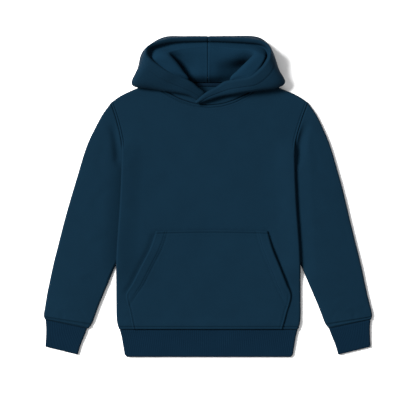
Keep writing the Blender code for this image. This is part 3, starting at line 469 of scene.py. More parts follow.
def cloth_material(name, dark, light, wale, course, knit, nap, sheen):
    """A knitted cloth: wales and courses laid by the cloth's own lengths, with a fine nap over them."""
    cloth = bpy.data.materials.new(name)
    cloth.use_nodes = True
    cloth.diffuse_color = (*light, 1.0)
    tree = cloth.node_tree
    place = add_node(tree, "TexCoord").outputs["Object"]
    lengths = add_node(tree, "UVMap", uv_map="cloth").outputs["UV"]
    mottle = add_node(tree, "TexNoise", Vector=place, Scale=34.0, Detail=3.0, Roughness=0.6).outputs["Fac"]
    fibre = add_node(tree, "TexNoise", Vector=place, Scale=1400.0, Detail=4.0, Roughness=0.7).outputs["Fac"]
    fine = add_node(tree, "Math", fibre, 0.7, operation="MULTIPLY").outputs[0]
    mixed = add_node(tree, "Math", mottle, 0.3, fine, operation="MULTIPLY_ADD").outputs[0]
    colours = add_node(tree, "ValToRGB", mixed)
    for end, colour, position in zip(colours.color_ramp.elements, (dark, light), (0.3, 0.7)):
        end.color, end.position = (*colour, 1.0), position
    waves = []
    for across, spacing, uneven, detail in (("X", wale, 1.6, 2.0), ("Y", course, 1.2, 1.0)):
        wave = add_node(tree, "TexWave", bands_direction=across, Vector=lengths, Distortion=uneven)
        wave.inputs["Scale"].default_value = 1.0 / (spacing * MM) * WAVE_PERIOD
        wave.inputs["Detail Scale"].default_value = detail
        waves.append(wave.outputs["Fac"])
    loops = add_node(tree, "Math", *waves, operation="MULTIPLY").outputs[0]
    knit_bump = add_node(tree, "Bump", Strength=knit, Distance=0.0004, Height=loops).outputs["Normal"]
    nap_bump = add_node(tree, "Bump", Strength=nap, Distance=0.0005, Height=fibre, Normal=knit_bump)
    shader = tree.nodes["Principled BSDF"].inputs
    looks = {"Base Color": colours.outputs["Color"], "Normal": nap_bump.outputs["Normal"], "Roughness": 0.92}
    looks |= {"Specular IOR Level": 0.05, "Sheen Weight": sheen, "Sheen Roughness": 0.55}
    looks["Sheen Tint"] = (*light, 1.0)
    for key, value in looks.items():
        feed(tree, shader[key], value)
    return cloth


FINISHES = table(
    "slot name dark light wale course knit nap sheen",
    ("fleece", "navy_fleece", (0.0013, 0.0089, 0.0180), (0.0018, 0.0117, 0.0230), 1.3, 1.0, 0.25, 0.5, 0.03),
    # the hood lining's navy is lighter than the fleece's: painted light for its inner bands that face the
    # lamp
    ("hood_lining", "navy_lining", (0.0014, 0.0106, 0.0218), (0.002, 0.0137, 0.0278), 1.3, 1, 0.3, 0.4, 0.03),
    ("rib", "navy_rib", (0.0006, 0.0066, 0.0150), (0.0009, 0.0087, 0.0194), 1.6, 0.9, 0.35, 0.3, 0.025),
    # the neck tape's navy is darker than the fleece's: painted shade for its place deep under the hood
    ("tape", "navy_tape", (0.0008, 0.0054, 0.0120), (0.0012, 0.0072, 0.0158), 0.8, 0.8, 0.5, 0.2, 0.02),
    ("thread", "navy_thread", (0.0012, 0.0090, 0.0190), (0.0018, 0.0125, 0.0250), 0.4, 0.4, 0.2, 0.1, 0.02),
)
finishes = {row.slot: cloth_material(*row[1:]) for row in FINISHES}

# --- body ---


def half_width(y):
    return read(BODY_EDGE, "half_width", y)


def lean(y, piece):
    return read(LEAN, piece, y)


def front_curve(x):
    reach = np.where(x > NECK_FRONT_X, NECK_X - NECK_FRONT_X, NECK_X + NECK_FRONT_X)
    return NECK_FRONT_Y + (NECK_Y - NECK_FRONT_Y) * ((x - NECK_FRONT_X) / reach) ** 2


def back_curve(x):
    return NECK_Y - NECK_BACK_DIP * (1 - (x / NECK_X) ** 2)


def neckline(x, curve):
    """A neckline as the panel's solid has it: nearly the curve, with its points on the solid's columns."""
    spacing = 2 * NECK_X / NECK_COLUMNS
    knots = np.arange(NECK_COLUMNS + 1) * spacing - NECK_X
    straight = np.interp(x, knots, curve(knots))
    return NECK_STRAIGHT * straight + (1 - NECK_STRAIGHT) * curve(x)


def shoulder_round(x):
    return ramp(np.abs(x), NECK_X - 22, NECK_X + 9.5)


def top_edge(x, curve):
    at_neck = neckline(np.clip(x, -NECK_X, NECK_X), curve)
    return np.where(np.abs(x) < NECK_X, at_neck, read(SHOULDER, "y", np.abs(x)))


def tucked(y):
    return ramp(y, *TUCK_START) * (1 - ramp(y, *TUCK_END))


def fold_radius(y):
    return (TUCK_HEIGHT - TUCK_LIFT) / 2 * tucked(y) + FLAT_HEIGHT / 2 * (1 - tucked(y))


def leaning(x, y):
    """x moved as the body lies askew, fully so beside its sides."""
    return x + lean(y, "body") * ramp(np.abs(x), 70, 130)


def front_top(x, y):
    """The front's upper surface away from its edges, without its seams' fine relief."""
    side = half_width(y) - np.abs(x)
    lift = (TUCK_HEIGHT - FLAT_HEIGHT) * tucked(y) * (1 - ramp(side, 0, LIFT_REACH))
    blouse = 0.9 * bump_at(y, HEM_SEAM_Y + 8, 8)
    drape = 0.22 * np.sin(x * 0.031 + 0.8) * np.cos(y * 0.024) + 0.12 * np.cos(x * 0.011 - y * 0.043)
    calm = (1 - ramp(y, 110, 140)) * ramp(side, 2, 24)
    return FLAT_HEIGHT + lift + blouse + (drape + undulation(x, y)) * calm


EDGE_TURNS = np.radians([90, 78, 64, 50, 36, 22, 10, 0])  # round a folded edge, from its side to its top
EDGE_FINE = [0.7, 1.4, 2.1, 2.8, 3.5, 4.2, 4.9, 5.7, 6.6, 7.8, 9.4, 11.2, 13.2]
BODY_COLUMNS, BODY_ROWS = 104, 128


def panel_grid(curve):
    """x, y, how far the folded edges at the side and the top have turned, and the distance below the top."""
    turned, fine = len(EDGE_TURNS), len(EDGE_FINE)
    insets = join([1 - np.sin(EDGE_TURNS), np.ones(fine)])
    ones = np.ones(len(insets))
    extra = join([np.zeros(turned), EDGE_FINE])
    middle = np.linspace(-1, 1, BODY_COLUMNS)[1:-1]
    flat = np.zeros(len(middle))
    columns = 2 * len(insets) + len(middle)
    reach = EDGE_FINE[-1] + FLAT_HEIGHT / 2
    below_top = join([EDGE_FINE[::-1], np.zeros(turned)])
    low = HEM_SEAM_Y + HALF_GAP + join([np.arange(0, 12, 0.7), np.arange(12.4, 20, 1.5)])
    x = np.zeros((len(low) + BODY_ROWS + len(below_top), columns))
    y, side_turn, top_turn = x.copy(), x.copy(), x.copy()

    def both(edge, between=flat, sign=1):
        """A value of every column, from those in from one side and between the sides."""
        return join([sign * edge, between, edge[::-1]])

    # columns are placed by their x at the shoulder, and keep their share of the width below it
    side_of, share = both(ones, sign=-1), both(ones, middle, -1)
    inset, added = both(insets), both(extra)
    turn = both(join([EDGE_TURNS, np.zeros(fine)]))

    def across(half, radius, square):
        """x of every column at one height; square is 1 where the edge is cut square at a seam."""
        from_side = np.minimum(np.arange(columns), np.arange(columns)[::-1])
        step = np.minimum(from_side, turned - 1) / (turned - 1)
        roll = inset * (1 - square) + np.where(side_of != 0, step * square, 0)
        return np.where(side_of != 0, side_of * (half - roll * radius - added), share * (half - reach))

    x_top = across(SHOULDER_X, FLAT_HEIGHT / 2, 1.0)
    y_top = top_edge(x_top, curve)
    rounded = shoulder_round(x_top)
    turns = join([np.zeros(fine), EDGE_TURNS[::-1]])
    fine_top = np.repeat(below_top[:, None], columns, 1)
    fine_top[:fine] += FLAT_HEIGHT / 2
    for k in range(turned):
        roll = (1 - math.sin(turns[fine + k])) * rounded + (turned - 1 - k) / (turned - 1) * (1 - rounded)
        fine_top[fine + k] = roll * FLAT_HEIGHT / 2
    start = low[-1] + 2.0
    for r in range(len(x)):
        top_row = r - len(low) - BODY_ROWS
        if r < len(low):
            y[r] = low[r]
        elif top_row < 0:
            y[r] = start + (y_top - fine_top[0] - start) * ((r - len(low)) / BODY_ROWS)
        else:
            y[r] = y_top - fine_top[top_row]
            top_turn[r] = turns[top_row] * rounded
        square = 1 - ramp(y[r], 102, 84)
        x[r] = across(half_width(y[r]), fold_radius(y[r]), square)
        side_turn[r] = turn * (1 - square)
    return x, y, side_turn, top_turn, np.maximum(top_edge(x, curve) - y, 0)


def armhole_seam(side, y):
    """Relief of the armhole seam: the cloth dips into it, and into a row of stitches beside it."""
    return ramp(y, 72, 90) * ridges(side, (0.6, 2, 1.1), (-1, 0, 0.9), (-1, ARMHOLE_STITCHES, 0.75))


def hem_seam(up):
    return ridges(up, (1, 2.1, 1.1), (-1, 0, 0.8), (-1.6, HEM_STITCHES, 0.85))


def puckers(x, up):
    """Small uneven gathers where the cloth is eased on to its rib."""
    wave = np.sin(x * 0.55 + 1.3 * np.sin(x * 0.07)) + 0.6 * np.sin(x * 0.31 + 2.0)
    return 0.13 * wave * np.exp(-up / 9) * ramp(up, 0, 3)


def neck_seam(below):
    return ridges(below, (0.6, 2.3, 1.2), (0.45, 6.6, 1.3), (-1.2, 0, 1), (-1.3, NECK_STITCHES, 0.9))


def pocket_dip(x, y):
    """The front pressed down beside the pocket: wide hollows at its openings, fine ones at its sewn edges."""
    right, left = read(POCKET, "right_x", y), read(POCKET, "left_x", y)
    outside = np.maximum(right - x, x - left)
    opening = ramp(y, CORNER_Y - 4, CORNER_Y + 14)
    opening = opening * ramp(y, TOP_Y + 3, TOP_Y - 10)
    sewn = ramp(y, CORNER_Y + 4, CORNER_Y - 4)
    above = np.where(outside < 1.5, y - TOP_Y, FAR)
    dip = 1.9 * opening * bump_at(outside, 0.5, 5.5) + 0.1 * sewn * bump_at(outside, 0.8, 1.3)
    return dip + 0.8 * bump_at(above, 1.6, 1)


def front_surface():
    x, y, side_turn, top_turn, below = panel_grid(front_curve)
    side = np.maximum(half_width(y) - np.abs(x), 0)
    full = np.where(x > 0, SIDE_FULLNESS[1], SIDE_FULLNESS[0]) * tucked(y)
    z = front_top(x, y) + creased(BODY_CREASES, x, y) * ramp(side, 1, 14) + full * (1 - ramp(side, 2, 56))
    side_drop = (1 - np.cos(side_turn)) * (fold_radius(y) + full - SEWN_GAP)
    top_drop = (1 - np.cos(top_turn)) * (fold_radius(y) - SEWN_GAP)
    up = y - HEM_SEAM_Y
    z += hem_seam(up) + puckers(x, up) + armhole_seam(side, y) + neck_seam(below) * (1 - shoulder_round(x))
    x = leaning(x, y)
    z -= pocket_dip(x, y)
    return np.stack([x, y, z - np.maximum(side_drop, top_drop)], 2)


def back_surface():
    x, y, side_turn, top_turn = (values[::2] for values in panel_grid(back_curve)[:4])
    side = np.maximum(half_width(y) - np.abs(x), 0)
    lift = TUCK_LIFT * tucked(y) * (1 - ramp(side, 0, LIFT_REACH))
    rise = np.maximum(1 - np.cos(side_turn), 1 - np.cos(top_turn)) * fold_radius(y)
    return np.stack([leaning(x, y), y, lift + rise], 2)


front = front_surface()
front_normals = grid_normals(front)
sheet_piece("front_cloth", "front_body", "fleece", front, FLEECE)
sheet_piece("back_cloth", "back_body", "fleece", back_surface(), FLEECE, flip=True)

# --- sleeves and ribs ---

SLEEVE_TOP = 64
SLEEVE_PLACES = 150
FIRST_TURN, INNER_TURN, LAST_TURN = 9, 15, 7  # points round a ring's edges; the first are before its top
SLEEVE_BOTTOM, RIB_BOTTOM = 16, 24
CUFF_PER_RIB, HEM_PER_RIB = 10, 8


def round_edge(middle, height, inset, start, end, count):
    """Points round a flattened tube's folded edge: distance across it and z."""
    turns = np.radians(np.linspace(start, end, count))
    radius = height / 2 - inset
    return middle + radius * np.cos(turns), height / 2 + radius * np.sin(turns)


def flat_ring(width, height, inner_height, top, bottom_count, inset):
    """The outline round a flattened tube: distance from its outer edge and z, over the top and back."""
    first, last = height / 2, width - inner_height / 2
    parts = (
        round_edge(first, height, inset, 180, 96, FIRST_TURN),
        (first + (last - first) * top, np.full(len(top), height - inset)),
        round_edge(last, inner_height, inset, 84, -84, INNER_TURN),
        (first + (last - first) * np.linspace(1, 0, bottom_count), np.full(bottom_count, inset)),
        round_edge(first, height, inset, 264, 192, LAST_TURN),
    )
    return join(parts, axis=1)


def armhole_x(y):
    """The sleeve's sewn edge: beside the body's at the shoulder, and just under its side fold lower down."""
    beside = half_width(y) + SEWN_GAP - 1.4 * ramp(y, 84, 66)
    return np.where(y >= ARMHOLE_MEETS, beside, read(ARMHOLE, "half_width", y) - 0.9 * ramp(y, 34, 58))


def armpit_trough(x, y):
    """A soft hollow in the sleeve beside the armhole, which the body's free edge goes on from."""
    return ramp(y, 124, 96) * ramp(y, 40, 70) * bump_at(x - armhole_x(y), 8.5, 6.5)


def sleeve_surface(inset, side):
    first, last = SLEEVE[0], len(SLEEVE) - 1
    # the rings lie closer together near the cuff
    dense = join([np.arange(0, 0.9, 0.09), np.arange(0.9, 2.0, 0.16)])
    places = np.unique(join([np.linspace(0, last, SLEEVE_PLACES), last - dense]))
    lines = catmull(np.array(SLEEVE), places)
    rings = []
    for place, line in zip(places, lines):
        outer, inner = line[:2], line[2:]
        width = norm(inner - outer)
        thin = FLAT_HEIGHT - (FLAT_HEIGHT - TUCK_SLEEVE) * tucked(inner[1])
        distance, z = flat_ring(width, FLAT_HEIGHT, thin, np.linspace(0, 1, SLEEVE_TOP), SLEEVE_BOTTOM, inset)
        share = distance / width
        x, y = (outer + (inner - outer) * share[:, None]).T
        past_body = np.clip((x - half_width(y)) / THIN_REACH, 0, 1)
        sink = (FLAT_HEIGHT - TUCK_SLEEVE) * tucked(y) * (1 - past_body) ** SINK_POWER[side]
        upper = z > FLAT_HEIGHT / 2
        z = np.where(upper, np.minimum(z, FLAT_HEIGHT - sink - inset), z)
        run = (first.inner_x - first.outer_x) * (first.outer_y - y) / (first.outer_y - first.inner_y)
        sewn = (y >= first.inner_y) & (y <= first.outer_y)
        bow = np.where(sewn, armhole_x(y) - (first.outer_x + run), 0)
        x = x + bow * max(0.0, 1 - place / BOW_RINGS) ** 1.5
        share = np.clip(share, 0, 1)
        puff = np.sin(np.pi * share) ** 0.7
        calm = puff * ramp(place, 0, 1.2) * ramp(last - place, 0, 1)
        up = norm(lines[-1][:2] - outer)
        seam = np.abs(x - armhole_x(y)) * (y > ARMHOLE_MEETS)
        relief = (
            2.0 * calm * (1 - sink / 3.0)
            - armpit_trough(x, y) * ramp(place, 0, 0.25) * TROUGH_DEPTH[side]
            + undulation(x, y, 3.0 + side) * calm
            + creased(SLEEVE_CREASES, x, y) * calm
            + (hem_seam(up) + puckers(distance, up)) * np.where(puff > 0.02, 1, 0)
            + ridges(seam, (0.35, 2.2, 1.2), (-1.1, 0, 0.9)) * (place < 3) * ramp(y, 76, 94)
        )
        z = np.where(upper, z + relief, z)
        askew = lean(y, "sleeve") * (1 - share) + lean(y, "body") * share
        rings.append(np.stack([side * x + askew, y, z], 1))
    return np.array(rings)


def ribbed_pair(rows, ribs, per_rib, heights):
    """Outer and inner rings of a band: soft ribs above, plain below. The first ring is at the seam."""
    lines = catmull(np.array(rows, float), np.linspace(0, len(rows) - 1, RIB_ROWS))
    shares = np.linspace(0, 1, ribs * per_rib + 1)
    wave = 0.5 - 0.5 * np.cos(2 * np.pi * shares * ribs)
    ribbed = slice(FIRST_TURN, FIRST_TURN + len(shares))
    pair = []
    for inset in (0.0, RIB_WALL):
        rings = []
        for k, line in enumerate(lines):
            outer, inner = line[:2], line[2:]
            width = norm(inner - outer)
            share = k / (RIB_ROWS - 1)
            height = heights[0] * (1 - share) + heights[1] * share
            distance, z = flat_ring(width, height, height, shares, RIB_BOTTOM, inset)
            if inset == 0:
                along = share * RIB_LENGTH
                fall = ridges(along, (0.9, 0, 1.1), (-0.25, 3, 1.4))
                end = 1.6 * bump_at((1 - share) * RIB_LENGTH, 0, 1.5)
                z[ribbed] += RIB_RELIEF * (wave - 0.6) - fall - end * 0.6
            plan = outer + (inner - outer) * (distance / width)[:, None]
            rings.append(join([plan, z[:, None]], 1))
        pair.append(np.array(rings))
    return pair


sleeves = {}
for side, name in SIDES.items():
    outer, inner = sleeve_surface(0.0, side), sleeve_surface(FLEECE, side)
    tube_piece("sleeve_cloth_" + name, "sleeve_" + name, "fleece", outer, inner, flip=side < 0)
    sleeves[side] = outer, grid_normals(outer, True) * side
for side, name in SIDES.items():
    pair = ribbed_pair(CUFF, CUFF_RIBS, CUFF_PER_RIB, CUFF_HEIGHT)
    for rings in pair:
        rings[:, :, 0] = side * rings[:, :, 0] + lean(rings[:, :, 1], "sleeve")
    tube_piece("cuff_cloth_" + name, "cuff_" + name, "rib", *pair, flip=side < 0)
hem_y = np.linspace(HEM_BAND[-1].y, HEM_BAND[0].y, 12)
hem_half, hem_middle = read(HEM_BAND, "half_width", hem_y), lean(hem_y, "body")
hem_rows = [(m + h, y, m - h, y) for m, h, y in zip(hem_middle, hem_half, hem_y)]
tube_piece("hem_cloth", "hem_band", "rib", *ribbed_pair(hem_rows, HEM_RIBS, HEM_PER_RIB, HEM_BAND_HEIGHT))

# --- pocket ---

POCKET_EDGE = [0.0, 0.25, 0.7, 1.3, 2.0, 2.9, 4.0, 5.5, 7.2, 9.0, 10.8, 12.2, 13.2, 14.0, 14.8, 15.6]
POCKET_EDGE += [16.4, 17.4, 19.0, 21.0]
POCKET_MIDDLE = 84


def edge_round(distance):
    """How far a folded edge drops, by the distance from it."""
    return 1.3 * (1 - np.sqrt(np.clip(1 - (1 - np.clip(distance / 1.8, 0, 1)) ** 2, 0, 1)))


def pocket_surface():
    tall = TOP_Y - BOTTOM_Y
    low = np.array([0.0, 0.6, 1.2, 1.8, 2.4, 3.0, 3.6, 4.2, 4.8, 5.4, 6.2, 7.4, 9.0, 11.0])
    high = np.array([9.0, 7.6, 6.4, 5.6, 4.9, 4.2, 3.5, 2.8, 2.1, 1.4, 0.8, 0.35, 0.08, 0.0])
    ys = join([low, np.linspace(13.0, tall - 11.0, 74), tall - high]) + BOTTOM_Y
    right, left = read(POCKET, "right_x", ys), read(POCKET, "left_x", ys)
    edge, reach = np.array(POCKET_EDGE), POCKET_EDGE[-1]
    middle = np.linspace(0, 1, POCKET_MIDDLE)[1:-1]
    x = []
    for a, b in zip(right, left):
        x.append(join([a + edge, a + reach + (b - a - 2 * reach) * middle, b - edge[::-1]]))
    x = np.array(x)
    y = np.repeat(ys[:, None], x.shape[1], 1)
    from_edge = np.minimum(x - right[:, None], left[:, None] - x)
    below = TOP_Y - y
    # the upper edge is a little arched
    off_middle = (x - (right + left)[:, None] / 2) / ((left - right)[:, None] / 2)
    arch = 1.8 * (1 - off_middle**2) * ramp(below, 30, 0)
    opening = ramp(y, CORNER_Y - 2, CORNER_Y + 10)
    slope = ramp(y, CORNER_Y - 2, CORNER_Y + 34)
    slope = slope * (1 - ramp(y, TOP_Y - 40, TOP_Y - 4))
    gape = POCKET_GAPE * slope * np.exp(-((from_edge / GAPE_REACH) ** 2))
    z = front_top(x, y) + SEAM_GAP + 0.1 + FLEECE + gape
    z = z + 0.5 * undulation(x, y, 5) * ramp(from_edge, 0, 30)
    # each opening's wide hem runs straight on below its corner, under the sewn side
    straight = CORNER_Y + 8
    lines = []
    for column in ("right_x", "left_x"):
        step = (read(POCKET, column, straight + 10) - read(POCKET, column, straight)) / 10
        upper = read(POCKET, column, np.maximum(ys, straight))
        lines.append(upper + step * np.minimum(ys - straight, 0.0))
    from_line = SLANT * np.minimum(x - lines[0][:, None], lines[1][:, None] - x)
    hemmed = ramp(y, CORNER_Y - 26, CORNER_Y - 18) * ramp(from_edge, 1, 3)
    hem = 0.7 * (1 - ramp(from_line, POCKET_HEM - 1.2, POCKET_HEM + 1.4)) * hemmed
    hem -= 0.8 * ridges(from_line, *((1, row, 0.75) for row in POCKET_HEM_ROWS)) * hemmed
    hem += 0.45 * bump_at(from_edge * SLANT, 1.4, 1.2) * opening
    # the lower sides and the upper edge have narrow hems
    hem += ridges(from_edge, (0.5, 1.9, 1.1), (-1, SIDE_STITCHES, 0.8)) * (1 - opening)
    hem += ridges(below, (0.5, 1.8, 1.2), (-1.1, TOP_STITCHES, 0.85), (0.35, 6.4, 1))
    up = y - HEM_SEAM_Y
    drop = np.maximum(edge_round(from_edge), edge_round(below))
    z += hem - drop + 0.8 * hem_seam(up) + 0.5 * puckers(x, up)
    return np.stack([x, y + arch, z], 2)


pocket = pocket_surface()
pocket_normals = grid_normals(pocket)
upright = np.zeros_like(pocket) + np.array((0, 0, 1.0))
sheet_piece("pocket_cloth", "pocket", "fleece", pocket, FLEECE, normals=upright)

# --- hood ---


def neck_point(section, x):
    if section < FRONT_SECTIONS:
        y = float(neckline(x, front_curve)) + SEAM_GAP
        return Vector((x, y, float(front_top(x, y)) + SEAM_GAP))
    return Vector((x, float(neckline(x, back_curve)) + SEWN_GAP, 0.0))


def raised(point, z):
    return Vector((point.x, point.y, z))


def level(run):
    """The direction of a run in the plan."""
    return run.to_2d().normalized().to_3d()


def rim_normal(plans, section, side):
    before, after = plans[max(0, section - 1)], plans[min(len(plans) - 1, section + 1)]
    run = Vector((after.rim_x - before.rim_x, after.rim_y - before.rim_y, 0))
    if section == len(plans) - 1:
        run = Vector((-side, 0, 0))
    return Vector((side * -run.y, side * run.x, 0)).normalized()


def hood_guides(plans, section, side):
    """One section's guide points: up the shell and over the free edge, and down the lining to the neck."""
    height, plan = HOOD_HEIGHTS[section], plans[section]
    overlap = OVERLAP[min(section, len(OVERLAP) - 1) if side > 0 else -1]
    up = Vector((0, 0, 1))
    fold = Vector((plan.fold_x, plan.fold_y, height.fold_z + overlap.fold))
    edge = Vector((plan.rim_x, plan.rim_y, height.rim_z + overlap.rim - height.fall))
    lip = Vector((plan.lip_x, plan.lip_y, height.lip_z + overlap.rim))
    seam = neck_point(section, plan.neck_x)
    fold_inward = level(edge - fold)
    if section < FRONT_SECTIONS:
        rise = (fold.z - seam.z) / (height.fold_z - seam.z)
        tuck = seam.lerp(fold, height.tuck_share) + fold_inward * height.tuck_in
        tuck = raised(tuck, seam.z + height.tuck_rise * rise)
        turn = raised(tuck.lerp(fold, 0.3), seam.z + height.turn_rise * rise)
        near = float(ramp(abs(plan.neck_x), NECK_X - 26, NECK_X - 4))
        neck = seam + fold_inward * (1.2 + 2.6 * near) - up * (4.3 - 1.3 * near)
        clear = max(2.6 + 2.6 * near, (tuck - seam).dot(fold_inward) + FLEECE + LINING_WALL + 1.2)
        heel = raised(seam + fold_inward * clear, neck.z + 0.8)
        if overlap.short:
            neck = raised(tuck + fold_inward * 5.4, seam.z + overlap.neck_rise)
            heel = neck + up * 0.8
    else:
        outward = level(fold - seam)
        tuck = raised(fold - outward * 11, 0)
        turn = raised(fold - outward * 3.2, 0.29 * fold.z)
        inner_x = seam.x * (0.96 if section > 7 else 0.92)
        neck = Vector((inner_x, seam.y - 0.6, PANELS + 0.6))
        if section == len(plans) - 1:
            neck.x = seam.x
        heel = None
    inward = rim_normal(plans, section, side)
    crown = edge + up * height.fall - inward * height.reach
    inner_slant = crown + inward * (SLANT_OUT * height.reach) - up * (SLANT_DOWN * height.fall)
    # the band between fold and free edge: upright at the fold, then an even slope with a slight crown
    round_up = min(4.4, 0.45 * (crown.z - fold.z))
    belly = fold + level(crown - fold) * (0.55 * round_up) + up * round_up
    chord = belly - crown
    steep = chord.z / chord.length
    out = (up - chord * (chord.z / chord.length_squared)).normalized()
    at_hem = min(0.62, (HOOD_HEM - height.reach) / chord.length)
    hem = crown + chord * at_hem + out * (0.16 * chord.length * at_hem * (1 - at_hem))
    brim = crown + chord * min(0.28, 3.2 / chord.length) + out * (0.3 + 0.5 * steep * steep)
    shell = [seam, tuck, turn, fold, belly, hem, brim, crown, inner_slant, edge]
    slant = height.fall * math.sqrt(0.5)
    if section < TURNED_UNDER:
        low_slant = edge - inward * (height.fall - slant) - up * slant
        low = edge - (up + inward) * height.fall
        shell.append(low_slant)
        inside = [edge - inward * 0.9 - up * 0.8, low_slant + up * 0.3, low]
        inside += [low.lerp(heel, share) for share in (0.14, 0.28, 0.42, 0.56, 0.7, 0.85)] + [heel, neck]
        return shell, inside
    shell.append(edge - inward * 0.7 - up * 1.3)
    brow = Vector((plan.brow_x, plan.brow_y, height.brow_z))
    crease = raised(edge.lerp(brow, 0.2), height.crease_z)
    crease_end = raised(edge.lerp(brow, 0.55), height.crease_z + 0.4 * (height.brow_z - height.crease_z))
    beside = level(lip - brow)
    width = (lip - brow).to_2d().length
    brow_top = brow + beside * min(1.0, 0.12 * width)
    crest = raised(brow + beside * min(6.0, 0.4 * width), height.crest_z)
    nose_at, under_at = (0.02, 0.1) if section < CROWN_SECTION else (0.06, 0.2)
    nose = raised(lip.lerp(neck, nose_at), lip.z - height.nose_fall)
    under = raised(lip.lerp(neck, under_at), lip.z - height.under_fall)
    sag = LINING_SAG[section] if side > 0 else 0.0
    valley = raised(lip.lerp(neck, height.valley_at), height.valley_z - sag)
    heel = heel or raised(valley.lerp(neck, 0.6), height.heel_z - 0.7 * sag)
    inside = [edge - inward * 0.9 - up * 0.6, crease, crease_end, brow_top, crest]
    inside += [lip - beside * 2.6, nose, under, valley, heel, neck]
    return shell, inside


def fine_columns(guides, counts):
    """Guide points (sections, guides, 3) filled in along each section on a smooth curve."""
    spans = np.maximum(norm(np.diff(guides, axis=1), axis=2, keepdims=True), 0.3)
    steps = np.diff(guides, axis=1) / spans
    slopes = np.zeros_like(guides)
    slopes[:, 0], slopes[:, -1] = steps[:, 0], steps[:, -1]
    weighed = steps[:, :-1] * spans[:, 1:] + steps[:, 1:] * spans[:, :-1]
    slopes[:, 1:-1] = weighed / (spans[:, :-1] + spans[:, 1:])
    out = [guides[:, :1]]
    for i, count in enumerate(counts):
        t = (np.arange(1, count + 1) / count)[None, :, None]
        here, there = slice(i, i + 1), slice(i + 1, i + 2)
        ends = guides[:, here], guides[:, there], slopes[:, here], slopes[:, there]
        out.append(hermite(t, spans[:, here], *ends))
    return join(out, 1)


SHELL_COUNTS = [8, 5, 7, 6, 14, 10, 4, 5, 4, 3]
LINING_COUNTS = [3, 5, 5, 6, 10, 5, 5, 9, 12, 8]
HOOD_SUBROWS = 11
HEM_LINE = sum(SHELL_COUNTS[:5])  # the shell's column at the free edge's hem


def hood_surface(plans, side, lining):
    guides = np.array([[tuple(p) for p in hood_guides(plans, i, side)[lining]] for i in range(len(plans))])
    counts = LINING_COUNTS if lining else SHELL_COUNTS
    columns = fine_columns(guides, counts[: guides.shape[1] - 1])
    places = np.linspace(0, len(plans) - 1, (len(plans) - 1) * HOOD_SUBROWS + 1)
    points = catmull(columns, places)
    relax(points)
    relax(points)
    points[-1, :, 0] = 0.0
    inside_body = lining * (places > FRONT_SECTIONS - 0.6)
    lowest = np.where(inside_body, PANELS, 0.0)
    points[:, :, 2] = np.maximum(points[:, :, 2], lowest[:, None])
    return points, places


def hood_finish(points, places, lining, side):
    """The hood's seams and creases, raised from its smooth surface."""
    normals = grid_normals(points) * (-side)
    to_crown = np.where((places > CROWN_SECTION)[:, None], np.abs(points[:, :, 0]), FAR)
    relief = ridges(to_crown, (0.3, 2, 1.1), (-0.55, 0, 0.8))
    if not lining:
        steps = norm(np.diff(points, axis=1), axis=2)
        from_seam = join([np.zeros((len(points), 1)), np.cumsum(steps, 1)], 1)
        from_line = from_seam - from_seam[:, HEM_LINE, None]
        relief += 0.35 * ramp(from_line, -0.6, 1.6) * (1 - ramp(from_line, 8, 16))
        relief -= 0.55 * bump_at(from_line, 0, 0.75)
        relief -= 0.8 * bump_at(from_seam, 0, 0.8) * (places < NECK_SECTIONS)[:, None]
    uneven = 0.5 * undulation(points[:, :, 0] * 1.6, points[:, :, 1] * 1.6, 7.0 + side + (2 if lining else 0))
    column = np.arange(points.shape[1])
    fade = ramp(column, 0, 6) * ramp(column[::-1], 0, 8)
    from_middle = np.arange(len(places))[::-1, None]
    relief += uneven * fade[None, :] * ramp(from_middle, 0, 16)
    normals[-1, :, 0] = 0.0
    normals[-1] /= norm(normals[-1], axis=1, keepdims=True)
    return points + normals * relief[:, :, None], normals


hood = {}
for side, plans in ((-1, HOOD_RIGHT), (1, HOOD_LEFT)):
    for kind, slot, wall in (("outer", "fleece", FLEECE), ("lining", "hood_lining", LINING_WALL)):
        lining = kind == "lining"
        points, normals = hood_finish(*hood_surface(plans, side, lining), lining, side)
        names = f"hood_{kind}_cloth_{SIDES[side]}", f"hood_{kind}_{SIDES[side]}"
        sheet_piece(*names, slot, points, wall, flip=side > 0, normals=normals)
        hood[kind, side] = points, normals

# --- neck tape ---

tape_x = np.linspace(-60, 60, 81)
tape_t = np.linspace(0, 1, 15)
tape = np.zeros((len(tape_x), len(tape_t), 3))
tape[:, :, 0] = tape_x[:, None]
tape[:, :, 1] = neckline(tape_x, back_curve)[:, None] - 6.4 + 6.2 * tape_t[None, :]
tape[:, :, 2] = FLEECE + SEAM_GAP + TAPE_WALL + 1.2 * np.sin(np.pi * tape_t)[None, :]
tape[:, :, 2] -= 0.35 * (bump_at(tape_t, 0.14, 0.05) + bump_at(tape_t, 0.86, 0.05))[None, :]
sheet_piece("tape_cloth", "neck_tape", "tape", tape, TAPE_WALL, flip=True)

# --- stitching ---


def lay_across(grid, columns, line_y):
    """A row of stitches across a grid at some of its columns: line_y gives each one's y."""
    rows = np.arange(len(grid[0]))
    lines = [grid[0][:, j] for j in columns]
    stitch_line(grid, [np.interp(line_y(line), line[:, 1], rows) for line in lines], columns)


def lay_along(grid, low_y, high_y, line_x):
    """A row of stitches up a grid between two heights: line_x gives its x at each y."""
    columns = np.arange(grid[0].shape[1])
    middle = grid[0][:, len(columns) // 2, 1]
    rows, at = [], []
    for i, row in enumerate(grid[0]):
        j = len(columns) // 2
        for _ in range(3):
            j = np.interp(line_x(np.interp(j, columns, row[:, 1])), row[:, 0], columns)
        y = np.interp(j, columns, row[:, 1])
        if low_y <= y <= high_y and (i == 0 or middle[i] > middle[i - 1]):
            rows.append(i)
            at.append(j)
    stitch_line(grid, rows, at)


def lay_on_pocket(low_y, high_y, column, inset):
    """A row of stitches inset from the pocket's edge in this column of its table."""
    lay_along((pocket, pocket_normals), low_y, high_y, lambda y: read(POCKET, column, y) + inset)


